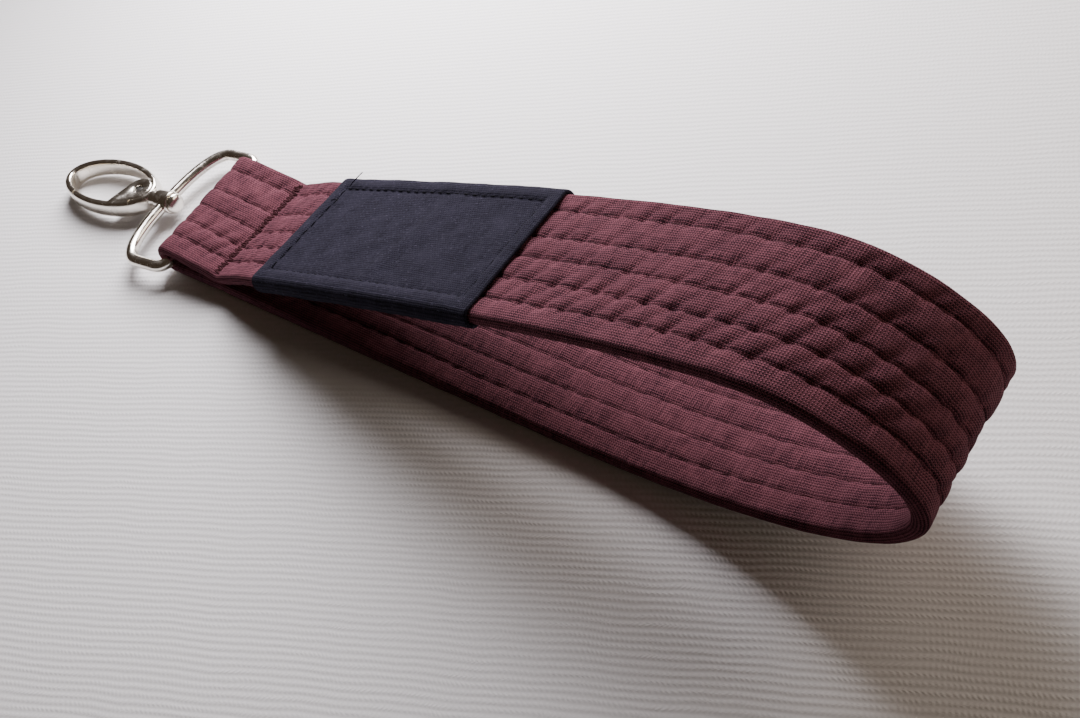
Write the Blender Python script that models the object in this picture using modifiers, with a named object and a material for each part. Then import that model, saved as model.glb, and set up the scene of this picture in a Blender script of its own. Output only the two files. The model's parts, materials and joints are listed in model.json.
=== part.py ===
"""Wristlet key strap: a quilted fabric loop, sewn round a swivelling spring-gate clasp's D-ring.

The strap lies on its flat underside. X runs along the strap, from the clasp (-X) to the
loop's round end (+X). Y runs across the strap and Z is up. The origin is on the strap's
underside, in the middle of its width. Lengths are in metres and angles in degrees.
"""

import math

import bmesh
import bpy
import numpy as np
from mathutils import Matrix, Vector

# Strap
STRAP_WIDTH = 0.0320
STRAP_THICKNESS = 0.0030
FOLD_THICKNESS = 0.0022        # where the strap is drawn tight round the ring's bar
FABRIC_THICKNESS = 0.00035
BATTING_THICKNESS = 0.0006
LAYER_GAP = 0.0003             # air between two pieces that touch
STRAP_EDGE_CHAMFER = 0.0007

# Side view of the strap's outer face
BAR_TO_ORIGIN = 0.0600         # from the ring's bar to the origin, along X
LOOP_LENGTH = 0.1823           # from the ring's bar to the far end of the loop
NOSE_HEIGHT = 0.0248           # height of the loop's foremost point
CROWN_HEIGHT = 0.0429          # height of the loop's top
CROWN_BACK = 0.0275            # from the foremost point back to the top
TOUCH_BACK = 0.0763            # from the foremost point back to where the strap meets the table
TACK_X = 0.0175                # from the bar to the cross seam that closes the ring's pocket
LIFT_RUN = 0.0125              # from the cross seam to where the upper run rises steadily
LIFT_RISE = 0.0044
LIFT_ANGLE = 16.5
CROWN_REACH_BACK = 0.0280      # reaches: how far the curve keeps its direction near a point
CROWN_REACH_AHEAD = 0.0109
LIFT_REACH_UP = 0.0160
LIFT_REACH_DOWN = 0.0050
TACK_REACH_UP = 0.0035
TACK_REACH_BACK = 0.0050
FOLD_REACH = 0.0060
TOUCH_REACH = 0.0640
NOSE_REACH_DOWN = 0.0072
NOSE_REACH_UP = 0.0105

# Quilting and seams
QUILT_LINES = (0.1625, 0.3125, 0.4750, 0.6400, 0.8590)   # shares of the width, from -Y
GROOVE_DEPTH = 0.0006
GROOVE_HALF_WIDTH = 0.0006
THREAD_RADIUS = 0.00015
THREAD_CLEARANCE = 0.0002
TACK_DIP = 0.0007
TACK_DIP_REACH = 0.0018
TACK_ZIGZAG_COUNT = 15
TACK_ZIGZAG_HALF = 0.0008
TACK_SIDE_INSET = 0.0012
SPLICE_GAP = 0.0006
SPLICE_FROM_TACK = 0.0480

# Patch wrapped round the splice
PATCH_FROM_TACK = 0.0170
PATCH_LENGTH = 0.0686
PATCH_WALL = 0.0008
PATCH_SEAM_Y = 0.0030
PATCH_SEAM_GAP = 0.0005
PATCH_HEM = 0.0035

# D-ring
RING_WIRE_RADIUS = 0.0014
RING_SIDE_GAP = 0.0010         # between the strap's edge and the ring's arm
RING_CORNER_RADIUS = 0.0030
RING_DEPTH = 0.0156            # from the bar's axis to the middle of the boss
RING_SHOULDER = 0.0085         # how far out the arms start to turn in
BOSS_RADIUS = 0.0027
BOSS_LENGTH = 0.0044
HARDWARE_YAW = 5.0             # the fold, the ring and the clasp lie a little askew

# Clasp
STEM_RADIUS = 0.0011
STEM_CLEARANCE = 0.00025
STEM_END_GAP = 0.0003
STEM_HEAD_RADIUS = 0.0024
STEM_HEAD_LENGTH = 0.0014
NECK_RADIUS = 0.0020
NECK_LENGTH = 0.0024
CLASP_NECK_GAP = 0.0040        # from the boss's middle to the near end of the oval
CLASP_LENGTH = 0.0308
CLASP_WIDTH = 0.0155
CLASP_RIM = 0.0019
CLASP_THICKNESS = 0.0045
CLASP_EDGE = 0.0006
PIVOT_FROM_END = 0.0049        # from the oval's near end to the gate's pin
TONGUE_RADIUS = 0.0033
TONGUE_THICKNESS = 0.0019
CHEEK_RADIUS = 0.0036
CHEEK_GAP = 0.0003
PIN_RADIUS = 0.0012
PIN_RECESS = 0.0005
GATE_LAP_RADIUS = 0.0191       # from the pin to the seam at the gate's free end
GATE_ROOT_OFFSET = 0.0008      # the gate's root lies this far on the bar's side of the pin
GATE_SEAM_GAP = 0.0003
SPRING_RADIUS = 0.00060
SPRING_WIRE_RADIUS = 0.00012
SPRING_TURNS = 4
SPRING_FROM_PIN = 0.0037
FINGER_DEPTH = 0.0016

# Mesh fineness
TURN_PER_STATION = 14.0
STATION_SPACING = 0.026
WIRE_SIDES_RESOLUTION = 1
DENSE_STEPS = 120

BAR_X = -BAR_TO_ORIGIN
POCKET_RADIUS = RING_WIRE_RADIUS + LAYER_GAP
FOLD_RADIUS = POCKET_RADIUS + FOLD_THICKNESS
TACK_TOP = 2 * STRAP_THICKNESS + LAYER_GAP
TILT = math.degrees(math.asin((FOLD_RADIUS - CLASP_THICKNESS / 2)
                              / (RING_DEPTH + CLASP_NECK_GAP + CLASP_LENGTH)))
COLLECTION_NAME = "quilted_wristlet"


# ---------------------------------------------------------------- scene helpers

def clear_scene():
    """Remove every object, so that the model starts from nothing."""
    for item in list(bpy.data.objects):
        bpy.data.objects.remove(item, do_unlink=True)


def new_collection(name):
    """A fresh collection in the scene."""
    made = bpy.data.collections.new(name)
    bpy.context.scene.collection.children.link(made)
    return made


def material(name, colour, roughness, metallic):
    """A plain Principled material."""
    made = bpy.data.materials.new(name)
    made.use_nodes = True
    shader = made.node_tree.nodes["Principled BSDF"]
    shader.inputs["Base Color"].default_value = (*colour, 1.0)
    shader.inputs["Roughness"].default_value = roughness
    shader.inputs["Metallic"].default_value = metallic
    made.diffuse_color = (*colour, 1.0)
    return made


def add_object(name, mesh, collection, surface=None):
    """Link a mesh as a named object."""
    made = bpy.data.objects.new(name, mesh)
    collection.objects.link(made)
    if surface is not None:
        mesh.materials.append(surface)
    return made


def as_cutter(item):
    """Mark a shape as a cutter: seen as a wire and left out of the model."""
    item.hide_render = True
    item.display_type = "WIRE"
    return item


def boolean(target, other, operation):
    """Join or cut with an exact Boolean modifier."""
    step = target.modifiers.new(operation.lower(), "BOOLEAN")
    step.operation = operation
    step.object = other
    step.solver = "EXACT"


def baked(item, collection, name=None):
    """Replace an object and its modifiers by the finished mesh."""
    depsgraph = bpy.context.evaluated_depsgraph_get()
    mesh = bpy.data.meshes.new_from_object(item.evaluated_get(depsgraph))
    work = bmesh.new()
    work.from_mesh(mesh)
    bmesh.ops.remove_doubles(work, verts=work.verts, dist=1e-7)
    work.to_mesh(mesh)
    work.free()
    made = bpy.data.objects.new(name or item.name, mesh)
    made.matrix_world = item.matrix_world
    collection.objects.link(made)
    old = item.data
    bpy.data.objects.remove(item, do_unlink=True)
    if isinstance(old, bpy.types.Curve):
        bpy.data.curves.remove(old)
    return made


def shade_round(item, angle=35.0):
    """Shade smooth, with edges sharper than the angle kept crisp."""
    item.data.shade_smooth()
    item.data.set_sharp_from_angle(angle=math.radians(angle))


def smooth_step(value):
    """The cubic 3v^2 - 2v^3 on values clamped to 0..1."""
    clamped = np.clip(value, 0.0, 1.0)
    return clamped * clamped * (3.0 - 2.0 * clamped)


def loft(name, rings, collection, surface=None):
    """A closed solid through rings of points (stations, points, 3), capped at both ends."""
    stations, count, _ = rings.shape
    index = np.arange(stations * count).reshape(stations, count)
    here = index[:-1]
    after = index[1:]
    quads = np.stack([here, after, np.roll(after, -1, axis=1), np.roll(here, -1, axis=1)], axis=-1)
    faces = quads.reshape(-1, 4).tolist()
    faces.append(index[0].tolist())
    faces.append(index[-1][::-1].tolist())
    mesh = bpy.data.meshes.new(name)
    mesh.from_pydata(rings.reshape(-1, 3).tolist(), [], faces)
    work = bmesh.new()
    work.from_mesh(mesh)
    bmesh.ops.recalc_face_normals(work, faces=work.faces)
    bmesh.ops.triangulate(work, faces=[face for face in work.faces if len(face.verts) > 4])
    work.to_mesh(mesh)
    work.free()
    return add_object(name, mesh, collection, surface)


def wire(name, points, radius, collection, surface=None, cyclic=False, resolution=0):
    """A round wire along the points, made a mesh with its end caps welded."""
    data = bpy.data.curves.new(name, "CURVE")
    data.dimensions = "3D"
    data.bevel_depth = radius
    data.bevel_resolution = resolution
    data.use_fill_caps = not cyclic
    spline = data.splines.new("POLY")
    spline.points.add(len(points) - 1)
    spline.points.foreach_set("co", np.c_[points, np.ones(len(points))].ravel())
    spline.use_cyclic_u = cyclic
    made = bpy.data.objects.new(name + "_path", data)
    collection.objects.link(made)
    solid = baked(made, collection, name)
    if surface is not None:
        solid.data.materials.append(surface)
    return solid


def plate(name, outline, thickness, collection):
    """A flat outline in XY, filled and extruded to a plate centred on Z = 0."""
    data = bpy.data.curves.new(name, "CURVE")
    data.dimensions = "2D"
    data.fill_mode = "BOTH"
    data.extrude = thickness / 2
    spline = data.splines.new("POLY")
    spline.points.add(len(outline) - 1)
    flat = np.c_[outline, np.zeros(len(outline)), np.ones(len(outline))]
    spline.points.foreach_set("co", flat.ravel())
    spline.use_cyclic_u = True
    made = bpy.data.objects.new(name + "_outline", data)
    collection.objects.link(made)
    return baked(made, collection, name)


def cylinder(name, radius, depth, collection, segments=32):
    """A capped cylinder along Z, centred on the origin."""
    mesh = bpy.data.meshes.new(name)
    work = bmesh.new()
    bmesh.ops.create_cone(work, cap_ends=True, segments=segments, radius1=radius,
                          radius2=radius, depth=depth)
    work.to_mesh(mesh)
    work.free()
    return add_object(name, mesh, collection)


def block(name, low, high, collection):
    """A box between two corners."""
    mesh = bpy.data.meshes.new(name)
    work = bmesh.new()
    bmesh.ops.create_cube(work, size=1.0)
    low = Vector(low)
    high = Vector(high)
    size = high - low
    bmesh.ops.scale(work, vec=size, verts=work.verts)
    bmesh.ops.translate(work, vec=(low + high) / 2, verts=work.verts)
    work.to_mesh(mesh)
    work.free()
    return add_object(name, mesh, collection)


def turned(name, profile, collection, steps=24):
    """A turned solid: a profile of (distance outward, radius), spun round the X axis.

    Distance outward runs towards -X, the way the clasp points.
    """
    mesh = bpy.data.meshes.new(name)
    vertices = [(-outward, radius, 0.0) for outward, radius in profile]
    edges = [(k, k + 1) for k in range(len(profile) - 1)]
    mesh.from_pydata(vertices, edges, [])
    made = add_object(name, mesh, collection)
    spin = made.modifiers.new("spin", "SCREW")
    spin.axis = "X"
    spin.steps = steps
    spin.render_steps = steps
    spin.use_merge_vertices = True
    spin.merge_threshold = 1e-6
    solid = baked(made, collection, name)
    work = bmesh.new()
    work.from_mesh(solid.data)
    bmesh.ops.remove_doubles(work, verts=work.verts, dist=1e-7)
    bmesh.ops.recalc_face_normals(work, faces=work.faces)
    work.to_mesh(solid.data)
    work.free()
    return solid


# ---------------------------------------------------------------- the strap's side view

def bezier(start, start_handle, end_handle, end):
    """Points of a cubic Bezier curve, without its last point."""
    t = np.linspace(0.0, 1.0, DENSE_STEPS, endpoint=False)[:, None]
    return ((1 - t) ** 3 * start + 3 * (1 - t) ** 2 * t * start_handle
            + 3 * (1 - t) * t ** 2 * end_handle + t ** 3 * end)


def outer_curve():
    """The strap's outer face from the side, once round, as a dense closed polyline of (x, z).

    It starts at the crown, runs back to the cross seam, round the bar, along the table and
    up round the nose. Distances are measured from the bar.
    """
    slope = math.radians(LIFT_ANGLE)
    lift_direction = np.array([math.cos(slope), math.sin(slope)])
    nose = np.array([LOOP_LENGTH, NOSE_HEIGHT])
    crown = np.array([LOOP_LENGTH - CROWN_BACK, CROWN_HEIGHT])
    touch = np.array([LOOP_LENGTH - TOUCH_BACK, 0.0])
    tack = np.array([TACK_X, TACK_TOP])
    lift = tack + [LIFT_RUN, LIFT_RISE]
    fold_top = np.array([0.0, 2 * FOLD_RADIUS])
    fold_bottom = np.array([0.0, 0.0])
    along = np.array([1.0, 0.0])
    up = np.array([0.0, 1.0])
    turn = np.linspace(0.5 * math.pi, 1.5 * math.pi, DENSE_STEPS, endpoint=False)
    fold = np.c_[FOLD_RADIUS * np.cos(turn), FOLD_RADIUS + FOLD_RADIUS * np.sin(turn)]
    return np.vstack([
        bezier(crown, crown - CROWN_REACH_BACK * along, lift + LIFT_REACH_UP * lift_direction, lift),
        bezier(lift, lift - LIFT_REACH_DOWN * lift_direction, tack + TACK_REACH_UP * along, tack),
        bezier(tack, tack - TACK_REACH_BACK * along, fold_top + FOLD_REACH * along, fold_top),
        fold,
        bezier(fold_bottom, fold_bottom + 0.3 * (touch - fold_bottom),
               touch - 0.3 * (touch - fold_bottom), touch),
        bezier(touch, touch + TOUCH_REACH * along, nose - NOSE_REACH_DOWN * up, nose),
        bezier(nose, nose + NOSE_REACH_UP * up, crown + CROWN_REACH_AHEAD * along, crown),
    ])


class StrapPath:
    """The strap's route, from one side of the splice once round to the other."""

    def __init__(self):
        curve = outer_curve()
        closed = np.vstack([curve, curve, curve[:1]])
        step = np.linalg.norm(np.diff(closed, axis=0), axis=1)
        length = np.r_[0.0, np.cumsum(step)]
        once = len(curve)
        upper = np.arange(once) < DENSE_STEPS
        splice = int(np.argmin(np.where(upper, np.abs(curve[:, 0] - TACK_X - SPLICE_FROM_TACK), 1.0)))
        self.points = closed[splice:splice + once + 1]
        self.length = length[splice:splice + once + 1] - length[splice]
        self.total = self.length[-1]
        tangent = np.gradient(self.points, self.length, axis=0)
        tangent[0] = tangent[-1] = self.points[1] - self.points[-2]
        self.tangent = tangent / np.linalg.norm(tangent, axis=1)[:, None]
        heading = np.unwrap(np.arctan2(self.tangent[:, 1], self.tangent[:, 0]))
        turning = np.abs(np.gradient(heading, self.length))
        near_tack = np.exp(-((self.points[:, 0] - TACK_X) / (1.6 * TACK_DIP_REACH)) ** 2)
        near_tack *= self.points[:, 1] < TACK_TOP + TACK_DIP
        self.demand = (turning / math.radians(TURN_PER_STATION) + 1 / STATION_SPACING
                       + near_tack / TACK_DIP_REACH)

    def at(self, along):
        """Position, inward normal, local thickness and face dip at distances along the route."""
        x = np.interp(along, self.length, self.points[:, 0])
        z = np.interp(along, self.length, self.points[:, 1])
        tx = np.interp(along, self.length, self.tangent[:, 0])
        tz = np.interp(along, self.length, self.tangent[:, 1])
        size = np.hypot(tx, tz)
        inward = np.stack([-tz / size, tx / size], axis=-1)
        blend = smooth_step(x / (0.7 * TACK_X))
        thickness = FOLD_THICKNESS + (STRAP_THICKNESS - FOLD_THICKNESS) * blend
        low = z < TACK_TOP + TACK_DIP
        dip = np.where(low, TACK_DIP * np.exp(-((x - TACK_X) / TACK_DIP_REACH) ** 2), 0.0)
        return np.stack([x, z], axis=-1), inward, thickness, dip

    def stations(self, start, end):
        """Distances between two ends, closer together where the strap bends."""
        inside = (self.length > start) & (self.length < end)
        length = np.r_[start, self.length[inside], end]
        demand = np.interp(length, self.length, self.demand)
        need = np.r_[0.0, np.cumsum((demand[1:] + demand[:-1]) / 2 * np.diff(length))]
        count = max(2, int(math.ceil(need[-1])) + 1)
        return np.interp(np.linspace(0.0, need[-1], count), need, length)

    def upper_distance(self, x):
        """Distance along the route where the upper run, heading back to the bar, passes an x."""
        turn = int(np.argmin(self.points[:, 0]))
        return float(np.interp(-x, -self.points[:turn, 0], self.length[:turn]))

    def lower_distance(self, x):
        """Distance along the route where the lower run, heading away from the bar, passes an x."""
        turn = int(np.argmin(self.points[:, 0]))
        far = int(np.argmax(self.points[:, 0]))
        return float(np.interp(x, self.points[turn:far, 0], self.length[turn:far]))

    def place(self, along, across, depth, relative=True):
        """World points for distances along, offsets across Y and depths below the outer face.

        A relative depth is scaled with the strap's local thickness and follows its dip.
        """
        position, inward, thickness, dip = self.at(along)
        if relative:
            room = (thickness - dip) / STRAP_THICKNESS
            depth = dip + depth * room
        flat = position + depth[..., None] * inward
        skew = math.tan(math.radians(HARDWARE_YAW)) * (1.0 - smooth_step(flat[..., 0] / TACK_X))
        x = BAR_X + flat[..., 0] - across * skew
        return np.stack([x, across + 0.0 * x, flat[..., 1]], axis=-1)


def section_rings(path, along, section, relative=True):
    """Rings of points for a section of (across, depth) carried along the route."""
    rows = [path.place(along, np.full_like(along, across), np.full_like(along, depth), relative)
            for across, depth in section]
    return np.stack(rows, axis=1)


def quilt_offsets():
    """The quilting lines' offsets across the strap."""
    return [STRAP_WIDTH * (share - 0.5) for share in QUILT_LINES]


def strap_section():
    """The quilted strap's outline: a flat band with a V groove at every line, on both faces."""
    half = STRAP_WIDTH / 2
    top = [(-half, STRAP_EDGE_CHAMFER), (-half + STRAP_EDGE_CHAMFER, 0.0)]
    for line in quilt_offsets():
        top += [(line - GROOVE_HALF_WIDTH, 0.0), (line, GROOVE_DEPTH), (line + GROOVE_HALF_WIDTH, 0.0)]
    top += [(half - STRAP_EDGE_CHAMFER, 0.0), (half, STRAP_EDGE_CHAMFER)]
    bottom = [(across, STRAP_THICKNESS - depth) for across, depth in reversed(top)]
    return top + bottom


def box_section(half, high, low):
    """A plain rectangular section between two depths."""
    return [(-half, high), (half, high), (half, low), (-half, low)]


# ---------------------------------------------------------------- fabric pieces

def build_cover(path, parts, cutters, surface):
    """The fabric sleeve: the quilted outline, hollowed for the batting and open at the splice."""
    along = path.stations(SPLICE_GAP / 2, path.total - SPLICE_GAP / 2)
    cover = loft("strap_cover", section_rings(path, along, strap_section()), parts, surface)
    hollow = GROOVE_DEPTH + FABRIC_THICKNESS
    half = STRAP_WIDTH / 2 - STRAP_EDGE_CHAMFER - FABRIC_THICKNESS
    through = path.stations(0.0, path.total)
    core = loft("strap_hollow", section_rings(path, through, box_section(
        half, hollow, STRAP_THICKNESS - hollow)), cutters)
    boolean(cover, as_cutter(core), "DIFFERENCE")
    return cover


def build_batting(path, parts, surface):
    """The padding inside the sleeve, a thin slab as wide as the hollow allows."""
    along = path.stations(SPLICE_GAP, path.total - SPLICE_GAP)
    half = STRAP_WIDTH / 2 - STRAP_EDGE_CHAMFER - FABRIC_THICKNESS - LAYER_GAP
    high = (STRAP_THICKNESS - BATTING_THICKNESS) / 2
    rings = section_rings(path, along, box_section(half, high, high + BATTING_THICKNESS))
    return loft("strap_batting", rings, parts, surface)


def build_quilt_threads(path, parts, surface):
    """A needle thread in every outer groove and a bobbin thread in every inner one."""
    along = path.stations(SPLICE_GAP, path.total - SPLICE_GAP)
    sunk = GROOVE_DEPTH - THREAD_CLEARANCE - THREAD_RADIUS
    depths = {"quilt_thread": sunk, "bobbin_thread": STRAP_THICKNESS - sunk}
    for kind, depth in depths.items():
        for number, line in enumerate(quilt_offsets(), start=1):
            points = path.place(along, np.full_like(along, line), np.full_like(along, depth))
            wire(f"{kind}_{number}", points, THREAD_RADIUS, parts, surface)


def build_tack_threads(path, parts, surface):
    """The zigzag that closes the ring's pocket: one thread on top, one underneath."""
    centres = {"tack_thread": path.upper_distance(TACK_X),
               "tack_bobbin_thread": path.lower_distance(TACK_X)}
    half = STRAP_WIDTH / 2 - TACK_SIDE_INSET
    across = np.linspace(-half, half, 2 * TACK_ZIGZAG_COUNT + 1)
    swing = TACK_ZIGZAG_HALF * np.where(np.arange(len(across)) % 2 == 0, -1.0, 1.0)
    for name, centre in centres.items():
        along = centre + swing
        _, _, _, dip = path.at(along)
        depth = dip - THREAD_CLEARANCE - THREAD_RADIUS
        points = path.place(along, across, depth, relative=False)
        wire(name, points, THREAD_RADIUS, parts, surface)


def patch_span(path):
    """The patch's two ends, as distances before and after the splice."""
    before = path.upper_distance(TACK_X + PATCH_FROM_TACK)
    return before, PATCH_LENGTH - before


def patch_stations(path, inset, count):
    """Distances across the splice, from the patch's tack end to its loop end."""
    before, after = patch_span(path)
    return np.linspace(before - inset, -(after - inset), count)


def place_across_splice(path, along, across, depth):
    """Like StrapPath.place with plain depths, for distances on both sides of the splice."""
    wrapped = np.where(along < 0.0, along + path.total, along)
    return path.place(wrapped, across, depth, relative=False)


def build_patch(path, parts, surface):
    """The patch: a band wrapped round the strap, its two edges meeting on the inner face."""
    along = patch_stations(path, 0.0, 9)
    inner_half = STRAP_WIDTH / 2 + LAYER_GAP
    outer_half = inner_half + PATCH_WALL
    top = -LAYER_GAP
    bottom = STRAP_THICKNESS + LAYER_GAP
    corner = PATCH_WALL
    right = PATCH_SEAM_Y + PATCH_SEAM_GAP / 2
    left = PATCH_SEAM_Y - PATCH_SEAM_GAP / 2
    section = [
        (right, bottom + PATCH_WALL), (outer_half - corner, bottom + PATCH_WALL),
        (outer_half, bottom + PATCH_WALL - corner), (outer_half, top - PATCH_WALL + corner),
        (outer_half - corner, top - PATCH_WALL), (-outer_half + corner, top - PATCH_WALL),
        (-outer_half, top - PATCH_WALL + corner), (-outer_half, bottom + PATCH_WALL - corner),
        (-outer_half + corner, bottom + PATCH_WALL), (left, bottom + PATCH_WALL),
        (left, bottom), (-inner_half, bottom), (-inner_half, top),
        (inner_half, top), (inner_half, bottom), (right, bottom),
    ]
    rows = [place_across_splice(path, along, np.full_like(along, across), np.full_like(along, depth))
            for across, depth in section]
    return loft("splice_patch", np.stack(rows, axis=1), parts, surface)


def build_patch_threads(path, parts, surface):
    """The topstitching round the patch: a closed rectangle on its outer and its inner face."""
    along = patch_stations(path, PATCH_HEM, 9)
    half = STRAP_WIDTH / 2 - PATCH_HEM
    proud = LAYER_GAP + PATCH_WALL + THREAD_CLEARANCE + THREAD_RADIUS
    depths = {"patch_thread": -proud, "patch_bobbin_thread": STRAP_THICKNESS + proud}
    ends = np.linspace(-half, half, 5)[1:-1]
    route = np.r_[along, np.full(3, along[-1]), along[::-1], np.full(3, along[0])]
    across = np.r_[np.full(9, -half), ends, np.full(9, half), ends[::-1]]
    for name, depth in depths.items():
        points = place_across_splice(path, route, across, np.full_like(across, depth))
        wire(name, points, THREAD_RADIUS, parts, surface, cyclic=True)


# ---------------------------------------------------------------- ring and clasp

def hardware_empty(name, outward, parts):
    """An empty on a joint's axis, a distance outward from the bar, in the ring's frame."""
    made = bpy.data.objects.new(name, None)
    parts.objects.link(made)
    made.empty_display_size = 0.004
    frame = (Matrix.Translation((BAR_X, 0.0, FOLD_RADIUS))
             @ Matrix.Rotation(math.radians(HARDWARE_YAW), 4, "Z")
             @ Matrix.Rotation(math.radians(-TILT), 4, "Y"))
    made.matrix_world = frame @ Matrix.Translation((-outward, 0.0, 0.0))
    return made


def place_on(item, empty, offset=0.0):
    """Parent a piece, modelled in the empty's frame or shifted outward from it."""
    item.parent = empty
    item.matrix_parent_inverse = Matrix.Identity(4)
    item.matrix_basis = Matrix.Translation((-offset, 0.0, 0.0))


def ring_route():
    """The D-ring's centreline in its own plane: the bar, two corners and the arched front."""
    half = STRAP_WIDTH / 2 + RING_SIDE_GAP + RING_WIRE_RADIUS
    straight = half - RING_CORNER_RADIUS
    corner = np.radians(np.linspace(0.0, 90.0, 6))
    corner_out = RING_CORNER_RADIUS * (1 - np.cos(corner))
    corner_side = straight + RING_CORNER_RADIUS * np.sin(corner)
    arch = np.radians(np.linspace(0.0, 90.0, 11))[1:]
    arch_out = RING_SHOULDER + (RING_DEPTH - RING_SHOULDER) * np.sin(arch) ** 0.85
    arch_side = half * np.cos(arch) ** 0.80
    outward = np.r_[corner_out, arch_out]
    side = np.r_[corner_side, arch_side]
    side[-1] = 0.0
    near = np.c_[-outward, -side]
    far = np.c_[-outward, side][::-1][1:]
    flat = np.vstack([near, far])
    return np.c_[flat, np.zeros(len(flat))]


def build_ring(parts, cutters, surface):
    """The D-ring: a bent wire with a bored boss in the middle of its arched front."""
    ring = wire("d_ring", ring_route(), RING_WIRE_RADIUS, parts, surface, cyclic=True,
                resolution=WIRE_SIDES_RESOLUTION)
    along_x = Matrix.Rotation(math.radians(90.0), 4, "Y")
    boss = cylinder("ring_boss", BOSS_RADIUS, BOSS_LENGTH, cutters, 24)
    bore = cylinder("ring_bore", STEM_RADIUS + STEM_CLEARANCE, 2 * BOSS_LENGTH, cutters, 24)
    for tool in (boss, bore):
        tool.matrix_world = Matrix.Translation((-RING_DEPTH, 0.0, 0.0)) @ along_x
    boolean(ring, as_cutter(boss), "UNION")
    boolean(ring, as_cutter(bore), "DIFFERENCE")
    bpy.context.view_layer.update()
    made = baked(ring, parts, "d_ring_body")
    made.name = "d_ring"
    shade_round(made)
    return made


def clasp_centre():
    """Distance outward from the boss's middle to the oval's centre."""
    return CLASP_NECK_GAP + CLASP_LENGTH / 2


def pivot_outward():
    """Distance outward from the boss's middle to the gate's pin."""
    return CLASP_NECK_GAP + PIVOT_FROM_END


def oval_point(angle, inset):
    """A point of the oval, inset from its outer edge, at an angle from its free end."""
    return np.array([clasp_centre() + (CLASP_LENGTH / 2 - inset) * math.cos(angle),
                     (CLASP_WIDTH / 2 - inset) * math.sin(angle)])


def angle_where(test, start, end):
    """The angle between two others at which a test on the rim's mid line changes sign."""
    for _ in range(50):
        middle = (start + end) / 2
        same = test(oval_point(middle, CLASP_RIM / 2)) * test(oval_point(start, CLASP_RIM / 2)) > 0
        start, end = (middle, end) if same else (start, middle)
    return start


def rim_solid(name, angles, collection, start_cut=None, end_cut=None):
    """A stretch of the oval rim, with chamfered edges.

    A cut is a direction that the end face follows, for an end that isn't square to the rim.
    """
    half = CLASP_THICKNESS / 2
    section = [(-1.0, -half + CLASP_EDGE), (-1.0, half - CLASP_EDGE), (-0.5, half), (0.5, half),
               (1.0, half - CLASP_EDGE), (1.0, -half + CLASP_EDGE), (0.5, -half), (-0.5, -half)]
    rings = []
    for number, angle in enumerate(angles):
        middle = oval_point(angle, CLASP_RIM / 2)
        outer = np.array([math.cos(angle) / (CLASP_LENGTH / 2), math.sin(angle) / (CLASP_WIDTH / 2)])
        outer /= np.linalg.norm(outer)
        cut = start_cut if number == 0 else end_cut if number == len(angles) - 1 else None
        across = outer
        if cut is not None:
            cut = np.array(cut) / np.linalg.norm(cut)
            across = cut / float(cut @ outer)
        rings.append([(-(middle + share * across * CLASP_RIM / 2)[0],
                       (middle + share * across * CLASP_RIM / 2)[1], level)
                      for share, level in section])
    return loft(name, np.array(rings), collection)


def gate_seams():
    """Rim angles of the seam at the gate's free end and of the one at its root.

    The near half of the rim, at -Y, has angles from 180 to 360 degrees. Each seam is given as
    the gate's angle and the hook's, with the seam's gap between them.
    """
    pivot = np.array([pivot_outward(), 0.0])
    root_outward = pivot[0] - GATE_ROOT_OFFSET

    def beyond_lap(radius):
        return lambda point: np.linalg.norm(point - pivot) - radius

    def beyond_root(outward):
        return lambda point: point[0] - outward

    half_gap = GATE_SEAM_GAP / 2
    lap = [angle_where(beyond_lap(GATE_LAP_RADIUS + shift), 1.5 * math.pi, 2.0 * math.pi)
           for shift in (-half_gap, half_gap)]
    root = [angle_where(beyond_root(root_outward + shift), math.pi, 1.5 * math.pi)
            for shift in (half_gap, -half_gap)]
    return lap, root


def lap_direction(angle):
    """The direction of the seam at the free end: square to the line from the pin."""
    reach = oval_point(angle, CLASP_RIM / 2) - [pivot_outward(), 0.0]
    return np.array([-reach[1], reach[0]])


def disc_outline(outward, side, radius, count=28):
    """Points of a circle in the clasp's plane."""
    turn = np.linspace(0.0, 2 * math.pi, count, endpoint=False)
    return np.c_[-outward + radius * np.cos(turn), side + radius * np.sin(turn)]


def cheek_outline():
    """The gate's cheek: a disc round the pin, run out by two tangents to a small disc in the arm."""
    small = CLASP_RIM / 4
    arm = oval_point(math.radians(248.0), CLASP_RIM / 2)
    centre = np.array([-pivot_outward(), 0.0])
    tip = np.array([-arm[0], arm[1]])
    span = tip - centre
    distance = float(np.linalg.norm(span))
    heading = math.atan2(span[1], span[0])
    spread = math.acos((CHEEK_RADIUS - small) / distance)
    wide = np.linspace(heading + spread, heading - spread + 2 * math.pi, 22)
    narrow = np.linspace(heading - spread, heading + spread, 6)
    return np.vstack([centre + CHEEK_RADIUS * np.c_[np.cos(wide), np.sin(wide)],
                      tip + small * np.c_[np.cos(narrow), np.sin(narrow)]])


def at_height(item, height):
    """Shift a mesh along Z."""
    item.data.transform(Matrix.Translation((0.0, 0.0, height)))
    return item


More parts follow.
